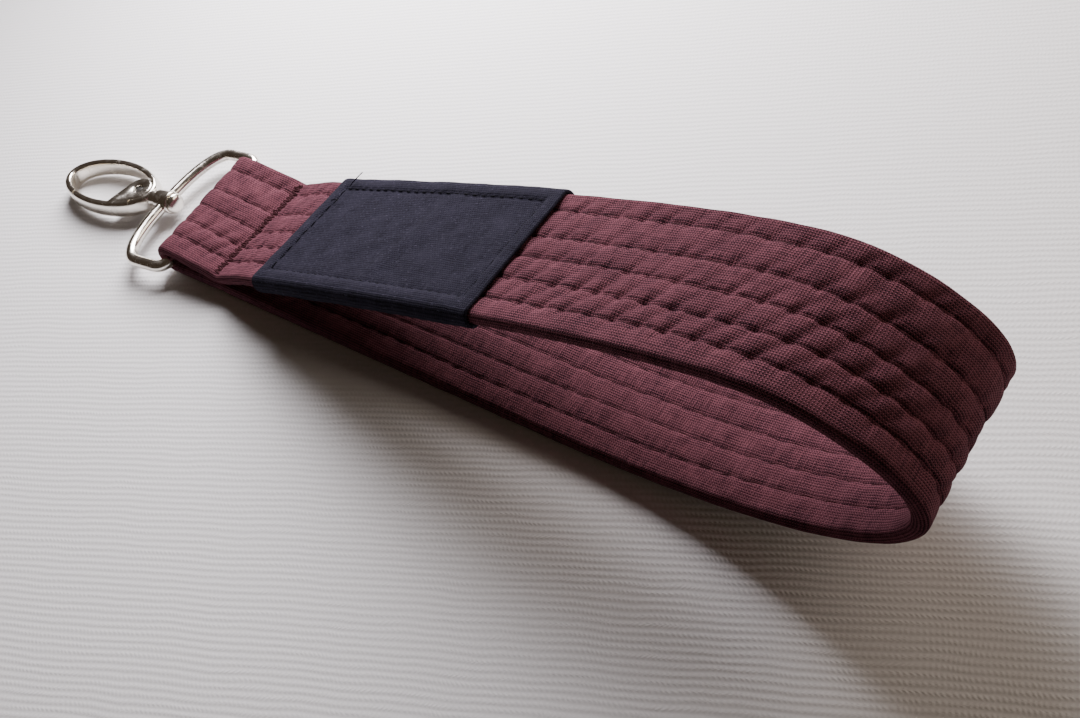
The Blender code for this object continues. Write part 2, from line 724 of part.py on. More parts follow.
def build_hook(parts, cutters, surface):
    """The hook body: swivel stem, neck, tongue and the fixed part of the rim, one casting."""
    lap, root = gate_seams()
    angles = np.linspace(lap[1] - 2 * math.pi, root[1], 34)
    hook = rim_solid("hook_body", angles, parts, start_cut=lap_direction(lap[1]), end_cut=(0.0, -1.0))
    head_start = -BOSS_LENGTH / 2 - STEM_END_GAP
    neck_start = BOSS_LENGTH / 2 + STEM_END_GAP
    neck_end = neck_start + NECK_LENGTH
    stem = turned("swivel_stem", [
        (head_start - STEM_HEAD_LENGTH, 0.0), (head_start - STEM_HEAD_LENGTH, 0.5 * STEM_HEAD_RADIUS),
        (head_start - 0.7 * STEM_HEAD_LENGTH, 0.85 * STEM_HEAD_RADIUS),
        (head_start - 0.3 * STEM_HEAD_LENGTH, STEM_HEAD_RADIUS), (head_start, STEM_HEAD_RADIUS),
        (head_start, STEM_RADIUS), (neck_start, STEM_RADIUS), (neck_start, 0.9 * NECK_RADIUS),
        (neck_start + 0.1 * NECK_LENGTH, NECK_RADIUS), (neck_end, NECK_RADIUS), (neck_end, 0.0),
    ], cutters)
    cheek_room = CHEEK_RADIUS + CHEEK_GAP
    recess_depth = (CLASP_THICKNESS - TONGUE_THICKNESS) / 2
    recess_middle = (TONGUE_THICKNESS + recess_depth) / 2
    recess_outline = disc_outline(pivot_outward(), 0.0, cheek_room)
    recess = plate("cheek_recess", recess_outline, recess_depth + 0.001, cutters)
    recess_low = add_object("cheek_recess_low", recess.data.copy(), cutters)
    at_height(recess, recess_middle + 0.0005)
    at_height(recess_low, -recess_middle - 0.0005)
    tongue = plate("tongue", disc_outline(pivot_outward(), 0.0, TONGUE_RADIUS), TONGUE_THICKNESS, cutters)
    bridge = block("tongue_bridge", (-pivot_outward(), -NECK_RADIUS, -TONGUE_THICKNESS / 2),
                   (-neck_end + 0.0003, NECK_RADIUS, TONGUE_THICKNESS / 2), cutters)
    finger = block("spring_finger", (-pivot_outward() - SPRING_FROM_PIN - SPRING_RADIUS - 0.0003,
                                     -FINGER_DEPTH, -TONGUE_THICKNESS / 2 + 0.0002),
                   (-pivot_outward(), 0.0, TONGUE_THICKNESS / 2 - 0.0002), cutters)
    hole = cylinder("tongue_bore", PIN_RADIUS + LAYER_GAP / 2, 2 * CLASP_THICKNESS, cutters, 24)
    hole.data.transform(Matrix.Translation((-pivot_outward(), 0.0, 0.0)))
    boolean(hook, as_cutter(recess), "DIFFERENCE")
    boolean(hook, as_cutter(recess_low), "DIFFERENCE")
    for piece in (tongue, bridge, finger, stem):
        boolean(hook, as_cutter(piece), "UNION")
    boolean(hook, as_cutter(hole), "DIFFERENCE")
    bpy.context.view_layer.update()
    made = baked(hook, parts, "hook_body_solid")
    made.name = "hook_body"
    made.data.materials.clear()
    made.data.materials.append(surface)
    shade_round(made)
    return made


def build_gate(parts, cutters, surface):
    """The gate: the sprung half of the rim, with two cheeks that straddle the tongue."""
    lap, root = gate_seams()
    angles = np.linspace(root[0], lap[0], 18)
    gate = rim_solid("gate", angles, parts, start_cut=(0.0, -1.0), end_cut=lap_direction(lap[0]))
    cheek_thickness = (CLASP_THICKNESS - TONGUE_THICKNESS) / 2 - CHEEK_GAP
    height = (CLASP_THICKNESS - cheek_thickness) / 2
    cheek = plate("cheek_top", cheek_outline(), cheek_thickness, cutters)
    cheek_low = add_object("cheek_low", cheek.data.copy(), cutters)
    at_height(cheek, height)
    at_height(cheek_low, -height)
    slot = plate("tongue_slot", disc_outline(pivot_outward(), 0.0, TONGUE_RADIUS + CHEEK_GAP),
                 TONGUE_THICKNESS + 2 * CHEEK_GAP, cutters)
    hole = cylinder("cheek_bore", PIN_RADIUS + LAYER_GAP / 2, 2 * CLASP_THICKNESS, cutters, 24)
    hole.data.transform(Matrix.Translation((-pivot_outward(), 0.0, 0.0)))
    boolean(gate, as_cutter(slot), "DIFFERENCE")
    boolean(gate, as_cutter(cheek), "UNION")
    boolean(gate, as_cutter(cheek_low), "UNION")
    boolean(gate, as_cutter(hole), "DIFFERENCE")
    bpy.context.view_layer.update()
    made = baked(gate, parts, "gate_solid")
    made.name = "gate"
    made.data.transform(Matrix.Translation((pivot_outward(), 0.0, 0.0)))
    made.data.materials.clear()
    made.data.materials.append(surface)
    shade_round(made)
    return made


def build_pin(parts, surface):
    """The gate's pin, its ends a little below the cheeks."""
    pin = cylinder("gate_pin", PIN_RADIUS, CLASP_THICKNESS - 2 * PIN_RECESS, parts, 24)
    pin.data.materials.append(surface)
    shade_round(pin)
    return pin


def build_spring(parts, surface):
    """The compression spring between the tongue's finger and the gate's arm."""
    outward = pivot_outward() + SPRING_FROM_PIN
    share = (outward - clasp_centre()) / (CLASP_LENGTH / 2 - CLASP_RIM)
    arm_inner = (CLASP_WIDTH / 2 - CLASP_RIM) * math.sqrt(1.0 - share * share)
    start = FINGER_DEPTH + LAYER_GAP + SPRING_WIRE_RADIUS
    end = arm_inner - LAYER_GAP - 2 * SPRING_WIRE_RADIUS
    turn = np.linspace(0.0, 2 * math.pi * SPRING_TURNS, 10 * SPRING_TURNS + 1)
    points = np.c_[-SPRING_FROM_PIN + SPRING_RADIUS * np.cos(turn),
                   -start - (end - start) * turn / turn[-1],
                   SPRING_RADIUS * np.sin(turn)]
    return wire("gate_spring", points, SPRING_WIRE_RADIUS, parts, surface, resolution=0)


# ---------------------------------------------------------------- assembly

def main():
    """Build the strap's pieces where they lie, and the hardware's pieces on their joints' axes."""
    clear_scene()
    parts = new_collection(COLLECTION_NAME)
    cutters = new_collection("cutters")
    maroon = material("maroon_cotton", (0.150, 0.040, 0.050), 0.92, 0.0)
    navy = material("navy_cotton", (0.018, 0.020, 0.036), 0.90, 0.0)
    padding = material("cotton_batting", (0.75, 0.72, 0.66), 1.0, 0.0)
    maroon_thread = material("maroon_thread", (0.060, 0.012, 0.018), 0.70, 0.0)
    navy_thread = material("navy_thread", (0.012, 0.013, 0.022), 0.70, 0.0)
    nickel = material("polished_nickel", (0.78, 0.75, 0.70), 0.16, 1.0)
    steel = material("spring_steel", (0.50, 0.50, 0.50), 0.30, 1.0)

    path = StrapPath()
    build_cover(path, parts, cutters, maroon)
    build_batting(path, parts, padding)
    build_quilt_threads(path, parts, maroon_thread)
    build_tack_threads(path, parts, maroon_thread)
    build_patch(path, parts, navy)
    build_patch_threads(path, parts, navy_thread)

    ring = build_ring(parts, cutters, nickel)
    hook = build_hook(parts, cutters, nickel)
    gate = build_gate(parts, cutters, nickel)
    pin = build_pin(parts, steel)
    spring = build_spring(parts, steel)
    ring_axis = hardware_empty("ring_axis", 0.0, parts)
    swivel_axis = hardware_empty("swivel_axis", RING_DEPTH, parts)
    gate_axis = hardware_empty("gate_axis", RING_DEPTH + pivot_outward(), parts)
    place_on(ring, ring_axis)
    place_on(hook, swivel_axis)
    place_on(gate, gate_axis)
    place_on(pin, gate_axis)
    place_on(spring, gate_axis)
    bpy.context.view_layer.update()


main()
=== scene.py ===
"""Looks for a quilted wristlet key strap: sewn cloth, stitching, D-ring and swivel clasp.

Every shape is worked out in millimetres, in the row's own frame (X along the strap, Y across
it, Z up), and made a mesh in metres. Distances along the strap are called u and run from the
splice under the patch, back over the ring's bar, along the table and round the loop. Distances
across it are y. A depth w is measured inward from the strap's outer face.
"""

import json
import math

import bpy
import numpy as np
from bpy.props import FloatProperty, IntProperty, PointerProperty
from mathutils import Matrix, Vector


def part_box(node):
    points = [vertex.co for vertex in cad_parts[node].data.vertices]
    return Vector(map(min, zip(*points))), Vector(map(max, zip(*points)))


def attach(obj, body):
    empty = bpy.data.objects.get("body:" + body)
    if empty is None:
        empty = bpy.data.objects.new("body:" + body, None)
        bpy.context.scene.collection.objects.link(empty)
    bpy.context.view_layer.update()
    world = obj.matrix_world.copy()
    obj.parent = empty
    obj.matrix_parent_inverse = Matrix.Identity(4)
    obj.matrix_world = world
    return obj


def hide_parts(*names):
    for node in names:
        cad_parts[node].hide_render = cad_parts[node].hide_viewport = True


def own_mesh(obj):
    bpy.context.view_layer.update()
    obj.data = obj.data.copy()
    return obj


bl_info = {
    "name": "Quilted wristlet looks",
    "version": (1, 0, 0),
    "blender": (4, 5, 0),
    "location": "3D View > Sidebar > Wristlet",
    "description": "Builds the sewn, stitched and cast pieces of a wristlet key strap",
    "category": "Object",
}

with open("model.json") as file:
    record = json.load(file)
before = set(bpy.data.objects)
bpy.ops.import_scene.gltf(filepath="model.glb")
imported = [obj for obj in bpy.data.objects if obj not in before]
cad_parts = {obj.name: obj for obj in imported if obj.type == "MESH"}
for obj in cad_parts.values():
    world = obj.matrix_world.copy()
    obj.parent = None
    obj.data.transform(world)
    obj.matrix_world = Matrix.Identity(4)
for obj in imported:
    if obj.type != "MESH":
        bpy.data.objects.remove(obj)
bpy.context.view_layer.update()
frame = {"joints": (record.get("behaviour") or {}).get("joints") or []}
MM = 0.001
JOINTS = {joint["name"]: joint for joint in frame["joints"]}
COVER_LOW, COVER_HIGH = (np.array(corner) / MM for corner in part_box("strap_cover"))

BAR = np.array(JOINTS["d_ring_swing"]["pos_m"]) / MM
SWIVEL = np.array(JOINTS["hook_swivel"]["pos_m"]) / MM
PIVOT = np.array(JOINTS["gate_hinge"]["pos_m"]) / MM
OUTWARD = np.array(JOINTS["hook_swivel"]["axis"])
SIDE = np.array(JOINTS["d_ring_swing"]["axis"])
UPWARD = np.cross(-OUTWARD, SIDE)
YAW = math.atan2(-SIDE[0], SIDE[1])

WIDTH = COVER_HIGH[1] - COVER_LOW[1]
THICKNESS = 3.0
FOLD_THICKNESS = 2.2
FOLD_RADIUS = BAR[2]
STRAP_EDGE = 1.3
TACK_X = 17.5
TACK_HEIGHT = 6.3
PATCH_AFTER_TACK = 17.0
PATCH_LENGTH = 68.6
PATCH_EDGE = 1.1
SPLICE_AFTER_TACK = 48.0
DENSE = 400
QUILT_LINES = WIDTH * (np.array([0.1625, 0.3125, 0.4750, 0.6400, 0.8590]) - 0.5)

RING_DEPTH = float(np.linalg.norm(SWIVEL - BAR))
PIVOT_OUT = float(np.linalg.norm(PIVOT - SWIVEL))
RING_WIRE = 1.4
RING_SHOULDER = 8.5
NECK_GAP = 4.0
OVAL = np.array([15.4, 7.75])
OVAL_CENTRE = NECK_GAP + OVAL[0]
RIM = 1.9
CLASP_HALF = 2.25
LAP_RADIUS = 19.1
ROOT_OUT = PIVOT_OUT - 0.8
SEAM = 0.3
TONGUE_HALF = 0.95
CHEEK_RADIUS = 3.6
PIN_RADIUS = 1.2


# ---------- small maths

def smooth_step(value):
    """3v^2 - 2v^3 on values clamped to 0..1."""
    v = np.clip(value, 0.0, 1.0)
    return v * v * (3.0 - 2.0 * v)


def unit(vectors):
    """Vectors along the last axis, scaled to length 1."""
    return vectors / np.linalg.norm(vectors, axis=-1, keepdims=True)


def ripple(u, y, seed, wave, count=9):
    """Smooth noise in -1..1: a sum of sines sin(a u + b y + c) of wavelengths near a given one."""
    rng = np.random.default_rng(seed)
    total = 0.0
    for _ in range(count):
        turn = rng.uniform(0.0, math.pi)
        k = 2 * math.pi / (wave * rng.uniform(0.6, 1.7))
        total = total + np.sin(k * (math.cos(turn) * u + math.sin(turn) * y) + rng.uniform(0.0, 6.3))
    return total / math.sqrt(2.0 * count) / 1.3


# ---------- the strap's route

def bezier(start, first, second, end):
    """(1-t)^3 a + 3(1-t)^2 t b + 3(1-t) t^2 c + t^3 d, without the last point."""
    t = np.linspace(0.0, 1.0, DENSE, endpoint=False)[:, None]
    return ((1 - t) ** 3 * start + 3 * (1 - t) ** 2 * t * first
            + 3 * (1 - t) * t ** 2 * second + t ** 3 * end)


class Route:
    """The side view of the strap's outer face, once round from the splice."""

    def __init__(self):
        reach = COVER_HIGH[0] - BAR[0]
        along = np.array([1.0, 0.0])
        up = np.array([0.0, 1.0])
        slope = np.array([math.cos(math.radians(16.5)), math.sin(math.radians(16.5))])
        nose = np.array([reach, 24.8])
        crown = np.array([reach - 27.5, COVER_HIGH[2]])
        touch = np.array([reach - 76.3, 0.0])
        tack = np.array([TACK_X, TACK_HEIGHT])
        lift = tack + [12.5, 4.4]
        fold_top = np.array([0.0, 2 * FOLD_RADIUS])
        turn = np.linspace(0.5 * math.pi, 1.5 * math.pi, DENSE, endpoint=False)
        fold = FOLD_RADIUS * np.c_[np.cos(turn), 1.0 + np.sin(turn)]
        curve = np.vstack([
            bezier(crown, crown - 28.0 * along, lift + 16.0 * slope, lift),
            bezier(lift, lift - 5.0 * slope, tack + 3.5 * along, tack),
            bezier(tack, tack - 5.0 * along, fold_top + 6.0 * along, fold_top),
            fold,
            bezier(np.zeros(2), 0.3 * touch, 0.7 * touch, touch),
            bezier(touch, touch + 64.0 * along, nose - 7.2 * up, nose),
            bezier(nose, nose + 10.5 * up, crown + 10.9 * along, crown),
        ])
        splice = int(np.argmin(np.abs(curve[:DENSE, 0] - TACK_X - SPLICE_AFTER_TACK)))
        curve = np.roll(curve, -splice, axis=0)
        closed = np.vstack([curve, curve[:1]])
        self.length = np.r_[0.0, np.cumsum(np.linalg.norm(np.diff(closed, axis=0), axis=1))]
        self.points = closed
        self.total = float(self.length[-1])
        ahead = np.roll(curve, -3, axis=0) - np.roll(curve, 3, axis=0)
        self.tangent = unit(np.vstack([ahead, ahead[:1]]))
        self.turn = int(np.argmin(closed[:, 0]))
        self.far = int(np.argmax(closed[:, 0]))
        self.tack_top = float(np.interp(-TACK_X, -closed[:self.turn, 0], self.length[:self.turn]))
        self.tack_under = float(np.interp(TACK_X, closed[self.turn:self.far, 0],
                                          self.length[self.turn:self.far]))

    def where(self, u):
        """Points (x, z) measured from the bar, and inward normals, at distances along the route."""
        wrapped = np.mod(u, self.total)
        flat, ahead = (np.stack([np.interp(wrapped, self.length, table[:, k]) for k in (0, 1)], -1)
                       for table in (self.points, self.tangent))
        ahead = unit(ahead)
        return flat, np.stack([-ahead[..., 1], ahead[..., 0]], -1)

    def near_tack(self, u, reach):
        """exp(-(d/reach)^2) of the distance d to the cross seam, on both runs."""
        wrapped = np.mod(u, self.total)
        return sum(np.exp(-((wrapped - seam) / reach) ** 2) for seam in (self.tack_top, self.tack_under))

    def place(self, u, y, w, scaled=True):
        """Points at distances u and y and depth w; a scaled depth shrinks where the strap is thin."""
        u, y, w = np.broadcast_arrays(u, y, w)
        flat, inward = self.where(u)
        if scaled:
            room = FOLD_THICKNESS + (THICKNESS - FOLD_THICKNESS) * smooth_step(flat[..., 0] / 12.25)
            dip = 0.7 * self.near_tack(u, 1.8)
            w = dip + w * (room - dip) / THICKNESS
        x = flat[..., 0] + w * inward[..., 0]
        z = flat[..., 1] + w * inward[..., 1]
        skew = math.tan(YAW) * (1.0 - smooth_step(x / TACK_X))
        return np.stack([BAR[0] + x - y * skew, y, z], -1)

    def outward(self, u):
        """Outward unit normals of the strap's outer face."""
        inward = self.where(u)[1]
        return np.stack([-inward[..., 0], np.zeros_like(u), -inward[..., 1]], -1)


ROUTE = Route()


class Quilting:
    """The quilted relief of one face: stitch lines, the holes along them and the puckered cloth."""

    def __init__(self, settings, face):
        self.settings = settings
        self.face = face
        rng = np.random.default_rng(11 + face)
        count = int(ROUTE.total / settings.stitch_pitch)
        self.pitch = ROUTE.total / count
        steps = np.arange(-1, count + 2)
        self.holes = [self.pitch * (steps + rng.uniform(0.0, 1.0) + 0.09 * rng.standard_normal(len(steps)))
                      for _ in QUILT_LINES]
        self.force = [rng.uniform(0.45, 1.0, len(steps)) for _ in QUILT_LINES]

    def line(self, number, u):
        """y of a stitch line, which wanders a little as it goes."""
        phase = 1.7 * number + 2.3 * self.face
        beat = 2 * math.pi * (u - self.holes[number][0]) / self.pitch
        return (QUILT_LINES[number] + 0.20 * np.sin(u / 21.0 + phase)
                + 0.09 * np.sin(u / 7.3 + 2.9 * phase) - 0.13 * np.cos(beat))

    def relief(self, u, y):
        """Depth of the cloth below the face's crest: channels, a pucker at every hole, and ripples."""
        groove = np.zeros(np.broadcast(u, y).shape)
        pucker = np.zeros_like(groove)
        edges = np.r_[-WIDTH / 2 - 1.6, QUILT_LINES, WIDTH / 2 + 1.6]
        for number in range(len(QUILT_LINES)):
            aside = y - self.line(number, u)
            above = (edges[number + 2] - edges[number + 1]) / 2
            below = (edges[number + 1] - edges[number]) / 2
            share = np.clip(1.0 - np.abs(aside) / np.where(aside > 0.0, above, below), 0.0, 1.0)
            groove = np.maximum(groove, 0.38 * share ** 2.4 + 0.62 * share ** 9)
            lean = np.where(aside > 0.0, -0.80, -0.35) * aside
            reach = np.where(aside > 0.0, 2.6, 1.2)
            holes = self.holes[number]
            nearest = np.clip(np.rint((u - lean - holes[0]) / self.pitch).astype(int), 0, len(holes) - 1)
            off = u - lean - holes[nearest]
            width = 0.70 + 0.16 * np.abs(aside)
            pucker += (self.force[number][nearest] * np.exp(-(off / width) ** 2 - np.abs(aside) / reach)
                       * (0.5 + 0.7 * smooth_step(np.abs(aside) / 0.9)))
        pull = self.settings.pucker_depth * (1.0, 0.4)[self.face]
        flat = 1.0 - 0.55 * ROUTE.near_tack(u, 1.3)
        cloth = self.settings.groove_depth * (1.0, 0.75)[self.face] * groove + pull * pucker
        return flat * cloth + self.settings.ripple_height * ripple(u, y, 31 + self.face, 9.0)


# ---------- meshes from whole arrays

def grid(rows, cols, wrap_rows=False, wrap_cols=False):
    """Quads of a grid of vertices, and each corner's row and column counted past the wrap."""
    row, col = np.meshgrid(np.arange(rows - (not wrap_rows)), np.arange(cols - (not wrap_cols)),
                           indexing="ij")
    corner_rows = np.stack([row, row + 1, row + 1, row], -1).reshape(-1, 4)
    corner_cols = np.stack([col, col, col + 1, col + 1], -1).reshape(-1, 4)
    return (corner_rows % rows) * cols + corner_cols % cols, corner_rows, corner_cols


def signed_volume(vertices, face_sets):
    """Six times the volume, by the sum of a . (b x c) over the faces cut into fans."""
    total = 0.0
    for faces in face_sets:
        for k in range(1, faces.shape[1] - 1):
            a, b, c = (vertices[faces[:, j]] for j in (0, k, k + 1))
            total += float(np.einsum("ij,ij->", a, np.cross(b, c)))
    return total


def make_mesh(name, vertices, face_sets, uv_sets=None):
    """A mesh of vertices in mm and faces, one array of faces for each number of corners."""
    vertices = vertices.reshape(-1, 3)
    if signed_volume(vertices, face_sets) < 0.0:
        face_sets = [faces[:, ::-1] for faces in face_sets]
        uv_sets = [uv[:, ::-1] for uv in uv_sets] if uv_sets is not None else None
    corners = np.concatenate([faces.ravel() for faces in face_sets]).astype(np.int32)
    totals = np.concatenate([np.full(len(faces), faces.shape[1]) for faces in face_sets])
    mesh = bpy.data.meshes.new(name)
    mesh.vertices.add(len(vertices))
    mesh.vertices.foreach_set("co", (vertices * MM).astype(np.float32).ravel())
    mesh.loops.add(len(corners))
    mesh.loops.foreach_set("vertex_index", corners)
    mesh.polygons.add(len(totals))
    mesh.polygons.foreach_set("loop_start", np.r_[0, np.cumsum(totals)[:-1]].astype(np.int32))
    mesh.update(calc_edges=True)
    if uv_sets is not None:
        layer = mesh.uv_layers.new(name="cloth")
        flat = np.concatenate([uv.reshape(-1, 2) for uv in uv_sets]).astype(np.float32)
        layer.uv.foreach_set("vector", flat.ravel())
    mesh.shade_smooth()
    return mesh


def swept(rings, wrap_rows=False, uv_rows=None, uv_cols=None):
    """Vertices, faces and corner UVs of a solid through closed rings (rows, cols, 3)."""
    rows, cols = rings.shape[:2]
    quads, corner_rows, corner_cols = grid(rows, cols, wrap_rows, True)
    if uv_rows is None:
        uv_rows = np.arange(rows + 1.0)
    if uv_cols is None:
        uv_cols = np.arange(cols + 1.0) / cols
    uvs = [np.stack([uv_rows[corner_rows], uv_cols[corner_cols]], -1)]
    faces = [quads]
    if not wrap_rows:
        ends = np.stack([np.arange(cols), (rows - 1) * cols + np.arange(cols)[::-1]])
        faces.append(ends)
        uvs.append(np.zeros((2, cols, 2)))
    return rings.reshape(-1, 3), faces, uvs


def merged(name, solids):
    """One mesh of several solids, each a (vertices, faces, uvs) triple."""
    by_count = {}
    start = 0
    for vertices, faces, uvs in solids:
        turned = signed_volume(vertices, faces) < 0.0
        for face, uv in zip(faces, uvs):
            face = face[:, ::-1] if turned else face
            uv = uv[:, ::-1] if turned else uv
            by_count.setdefault(face.shape[1], []).append((face + start, uv))
        start += len(vertices)
    vertices = np.concatenate([solid[0] for solid in solids])
    faces = [np.concatenate([pair[0] for pair in group]) for group in by_count.values()]
    uvs = [np.concatenate([pair[1] for pair in group]) for group in by_count.values()]
    return make_mesh(name, vertices, faces, uvs)


def strands(name, paths, normals, radius, sides=8):
    """Many short round threads: paths (strands, points, 3) with a side vector at each point.

    A ring of points is p + r (cos t n + sin t b), with n the side vector made square to the path
    and b square to both. Radii shrink at the first and last point to round the ends.
    """
    ahead = unit(np.gradient(paths, axis=1))
    side = unit(normals - np.sum(normals * ahead, -1, keepdims=True) * ahead)
    other = np.cross(ahead, side)
    turn = np.linspace(0.0, 2 * math.pi, sides, endpoint=False)
    taper = np.ones(paths.shape[1])
    taper[[0, -1]] = 0.45
    size = radius * taper[None, :, None, None]
    rings = (paths[:, :, None] + size * (np.cos(turn)[:, None] * side[:, :, None]
                                         + np.sin(turn)[:, None] * other[:, :, None]))
    count, points = paths.shape[:2]
    quads, corner_rows, corner_cols = grid(points, sides, False, True)
    offset = (np.arange(count) * points * sides)[:, None, None]
    step = np.linalg.norm(np.diff(paths, axis=1), axis=-1)
    run = np.concatenate([np.zeros((count, 1)), np.cumsum(step, axis=1)], axis=1)
    around = np.broadcast_to(corner_cols / sides, (count, *corner_cols.shape))
    uv = np.stack([run[:, corner_rows], around], -1)
    ends = np.stack([np.arange(sides), (points - 1) * sides + np.arange(sides)[::-1]])
    faces = [(quads[None] + offset).reshape(-1, 4), (ends[None] + offset).reshape(-1, sides)]
    return make_mesh(name, rings, faces, [uv.reshape(-1, 4, 2), np.zeros((2 * count, sides, 2))])


def linked(name, data):
    """A new object in the scene."""
    made = bpy.data.objects.new(name, data)
    bpy.context.scene.collection.objects.link(made)
    return made


def show(name, mesh, body, nodes, surface):
    """Link a finished mesh as a piece that rides on a body and stands for its CAD nodes."""
    made = linked(name, mesh)
    mesh.materials.clear()
    mesh.materials.append(surface)
    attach(made, body)
    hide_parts(*nodes)
    return made


# ---------- shading

class Wire:
    """A shader socket. Arithmetic on it adds Math nodes."""

    def __init__(self, graph, socket):
        self.graph = graph
        self.socket = socket

    def math(self, operation, *others):
        return self.graph.node("ShaderNodeMath", {"operation": operation}, (self, *others))

    def __add__(self, other):
        return self.math("ADD", other)

    def __sub__(self, other):
        return self.math("SUBTRACT", other)

    def __mul__(self, other):
        return self.math("MULTIPLY", other)

    def __pow__(self, other):
        return self.math("POWER", other)

    __radd__ = __add__
    __rmul__ = __mul__

    def sine(self):
        return self.math("SINE")

    def size(self):
        return self.math("ABSOLUTE")

    def ramp(self, low, high):
        """0 below low, 1 above high, smooth between."""
        return self.graph.node("ShaderNodeMapRange", {"interpolation_type": "SMOOTHSTEP"},
                               (self, low, high, 0.0, 1.0))


class Graph:
    """A material's node tree, with its Principled shader."""

    def __init__(self, name, colour, roughness, metallic=0.0):
        self.material = bpy.data.materials.new(name)
        self.material.use_nodes = True
        self.tree = self.material.node_tree
        self.shader = self.tree.nodes["Principled BSDF"]
        self.set("Base Color", (*colour, 1.0))
        self.set("Roughness", roughness)
        self.set("Metallic", metallic)

    def node(self, kind, settings, values, output=0):
        """Add a node, apply its settings, then fill its inputs in order; None skips one."""
        made = self.tree.nodes.new(kind)
        for key, value in settings.items():
            setattr(made, key, value)
        named = values.items() if isinstance(values, dict) else enumerate(values)
        for key, value in named:
            if isinstance(value, Wire):
                self.tree.links.new(value.socket, made.inputs[key])
            elif value is not None:
                made.inputs[key].default_value = value
        return Wire(self, made.outputs[output])

    def set(self, name, value):
        """Set or link one of the shader's own sockets."""
        if isinstance(value, Wire):
            self.tree.links.new(value.socket, self.shader.inputs[name])
        else:
            self.shader.inputs[name].default_value = value

    def split(self, where):
        """The first two numbers of a vector."""
        parts = self.tree.nodes.new("ShaderNodeSeparateXYZ")
        self.tree.links.new(where.socket, parts.inputs[0])
        return Wire(self, parts.outputs[0]), Wire(self, parts.outputs[1])

    def uv(self):
        """The two numbers of the piece's own UV layer, in mm."""
        return self.split(self.node("ShaderNodeUVMap", {"uv_map": "cloth"}, ()))

    def vector(self, x, y, z=0.0):
        return self.node("ShaderNodeCombineXYZ", {}, (x, y, z))

    def place(self):
        """Object coordinates."""
        return self.node("ShaderNodeTexCoord", {}, (), "Object")

    def noise(self, where, scale, detail=2.0, rough=0.5):
        return self.node("ShaderNodeTexNoise", {}, {"Vector": where, "Scale": scale, "Detail": detail,
                                                    "Roughness": rough})

    def grain(self, u, v, across, along, detail=2.0, rough=0.5):
        """Noise over two coordinates, each with its own scale."""
        return self.noise(self.vector(u * across, v * along), 1.0, detail, rough)

    def mix(self, share, first, second):
        """A colour between two others."""
        return self.node("ShaderNodeMix", {"data_type": "RGBA"}, {0: share, 6: first, 7: second}, 2)

    def bump(self, height, distance, strength=1.0, normal=None):
        """A normal from a height, in units of a distance in mm."""
        return self.node("ShaderNodeBump", {}, {"Strength": strength, "Distance": distance * MM,
                                                "Height": height, "Normal": normal})


def rgba(colour, times=1.0):
    """A colour made lighter or darker, with its alpha."""
    return (*(min(1.0, times * part) for part in colour), 1.0)


def woven_cloth(name, light, dark, pitch, balance, contrast, fleck=0.0):
    """Plain weave of two yarn colours: rows sin(v), each broken up by 0.45 + 0.65 sin(u)."""
    graph = Graph(name, light, 0.93)
    u, v = graph.uv()
    wander = graph.grain(u, v, 0.25, 0.25)
    slub_u = graph.grain(u, v, 3.0, 0.18)
    slub_v = graph.grain(u, v, 0.18, 3.0)
    row = ((v + 0.3 * wander) * (math.pi / pitch)).sine()
    crossing = row * (0.45 + 0.65 * ((u + 0.5 * wander) * (math.pi / pitch)).sine())
    over = (crossing + balance + 0.9 * (slub_u - slub_v)).ramp(-0.40, 0.40)
    blotch = graph.grain(u, v, 0.16, 0.16, 4.0, 0.6)
    shade = graph.mix(over, rgba(dark), rgba(light))
    paler = graph.mix(blotch.ramp(0.35, 0.75) * contrast, shade, rgba(light, 1.7))
    if fleck:
        speck = graph.grain(u, v, 0.9, 3.2, 3.0, 0.7).ramp(0.58, 0.70)
        paler = graph.mix(speck * fleck, paler, rgba(light, 2.6))
    graph.set("Base Color", paler)
    graph.set("Roughness", 0.86 + 0.12 * over)
    fuzz = graph.grain(u, v, 6.0, 6.0)
    height = crossing.size() ** 0.6 + 0.35 * fuzz + 0.3 * (slub_u + slub_v)
    graph.set("Normal", graph.bump(height, 0.15, 0.9))
    graph.set("Specular IOR Level", 0.04)
    return graph.material


def sewing_thread(name, colour):
    """Twisted thread: a helical ridge sin(2 pi (a u + b v)) on a spun, dull surface, with painted shade in
    the ridge's grooves and a painted highlight on its crests.
    """
    graph = Graph(name, colour, 0.6)
    u, v = graph.uv()
    twist = ((u * 1.9 + v * 2.0) * (2 * math.pi)).sine()
    fibre = graph.grain(u, v, 5.0, 14.0, 3.0)
    # Painted shade and highlight: the colour follows the twist and fibre heights, 0.35 times the thread's
    # colour in the grooves up to 1.5 times on the crests.
    twist_shade_and_highlight = graph.mix((0.5 + 0.5 * twist) * 0.55 + 0.4 * fibre, rgba(colour, 0.35), rgba(colour, 1.5))
    graph.set("Base Color", twist_shade_and_highlight)
    graph.set("Roughness", 0.55 + 0.3 * fibre)
    graph.set("Normal", graph.bump(twist + 0.6 * fibre, 0.03, 0.8))
    graph.set("Specular IOR Level", 0.05)
    return graph.material


def polished_metal(name, colour, roughness):
    """Plated metal: smudged roughness, a faint cast waviness and fine scratches."""
    graph = Graph(name, colour, roughness, 1.0)
    where = graph.place()
    smudge = graph.noise(where, 420.0, 4.0, 0.6)
    waviness = graph.noise(where, 1500.0, 2.0)
    stretch = graph.node("ShaderNodeMapping", {}, (where, (0, 0, 0), (0.3, 0.2, 0.6),
                                                   (900.0, 9000.0, 5000.0)))
    scratch = graph.noise(stretch, 1.0, 3.0, 0.7)
    graph.set("Base Color", graph.mix(smudge, rgba(colour, 0.92), rgba(colour)))
    graph.set("Roughness", roughness + 0.16 * smudge.ramp(0.40, 0.80) + 0.06 * scratch.ramp(0.55, 0.8))
    graph.set("Normal", graph.bump(waviness + 0.25 * scratch, 0.012, 0.5))
    return graph.material


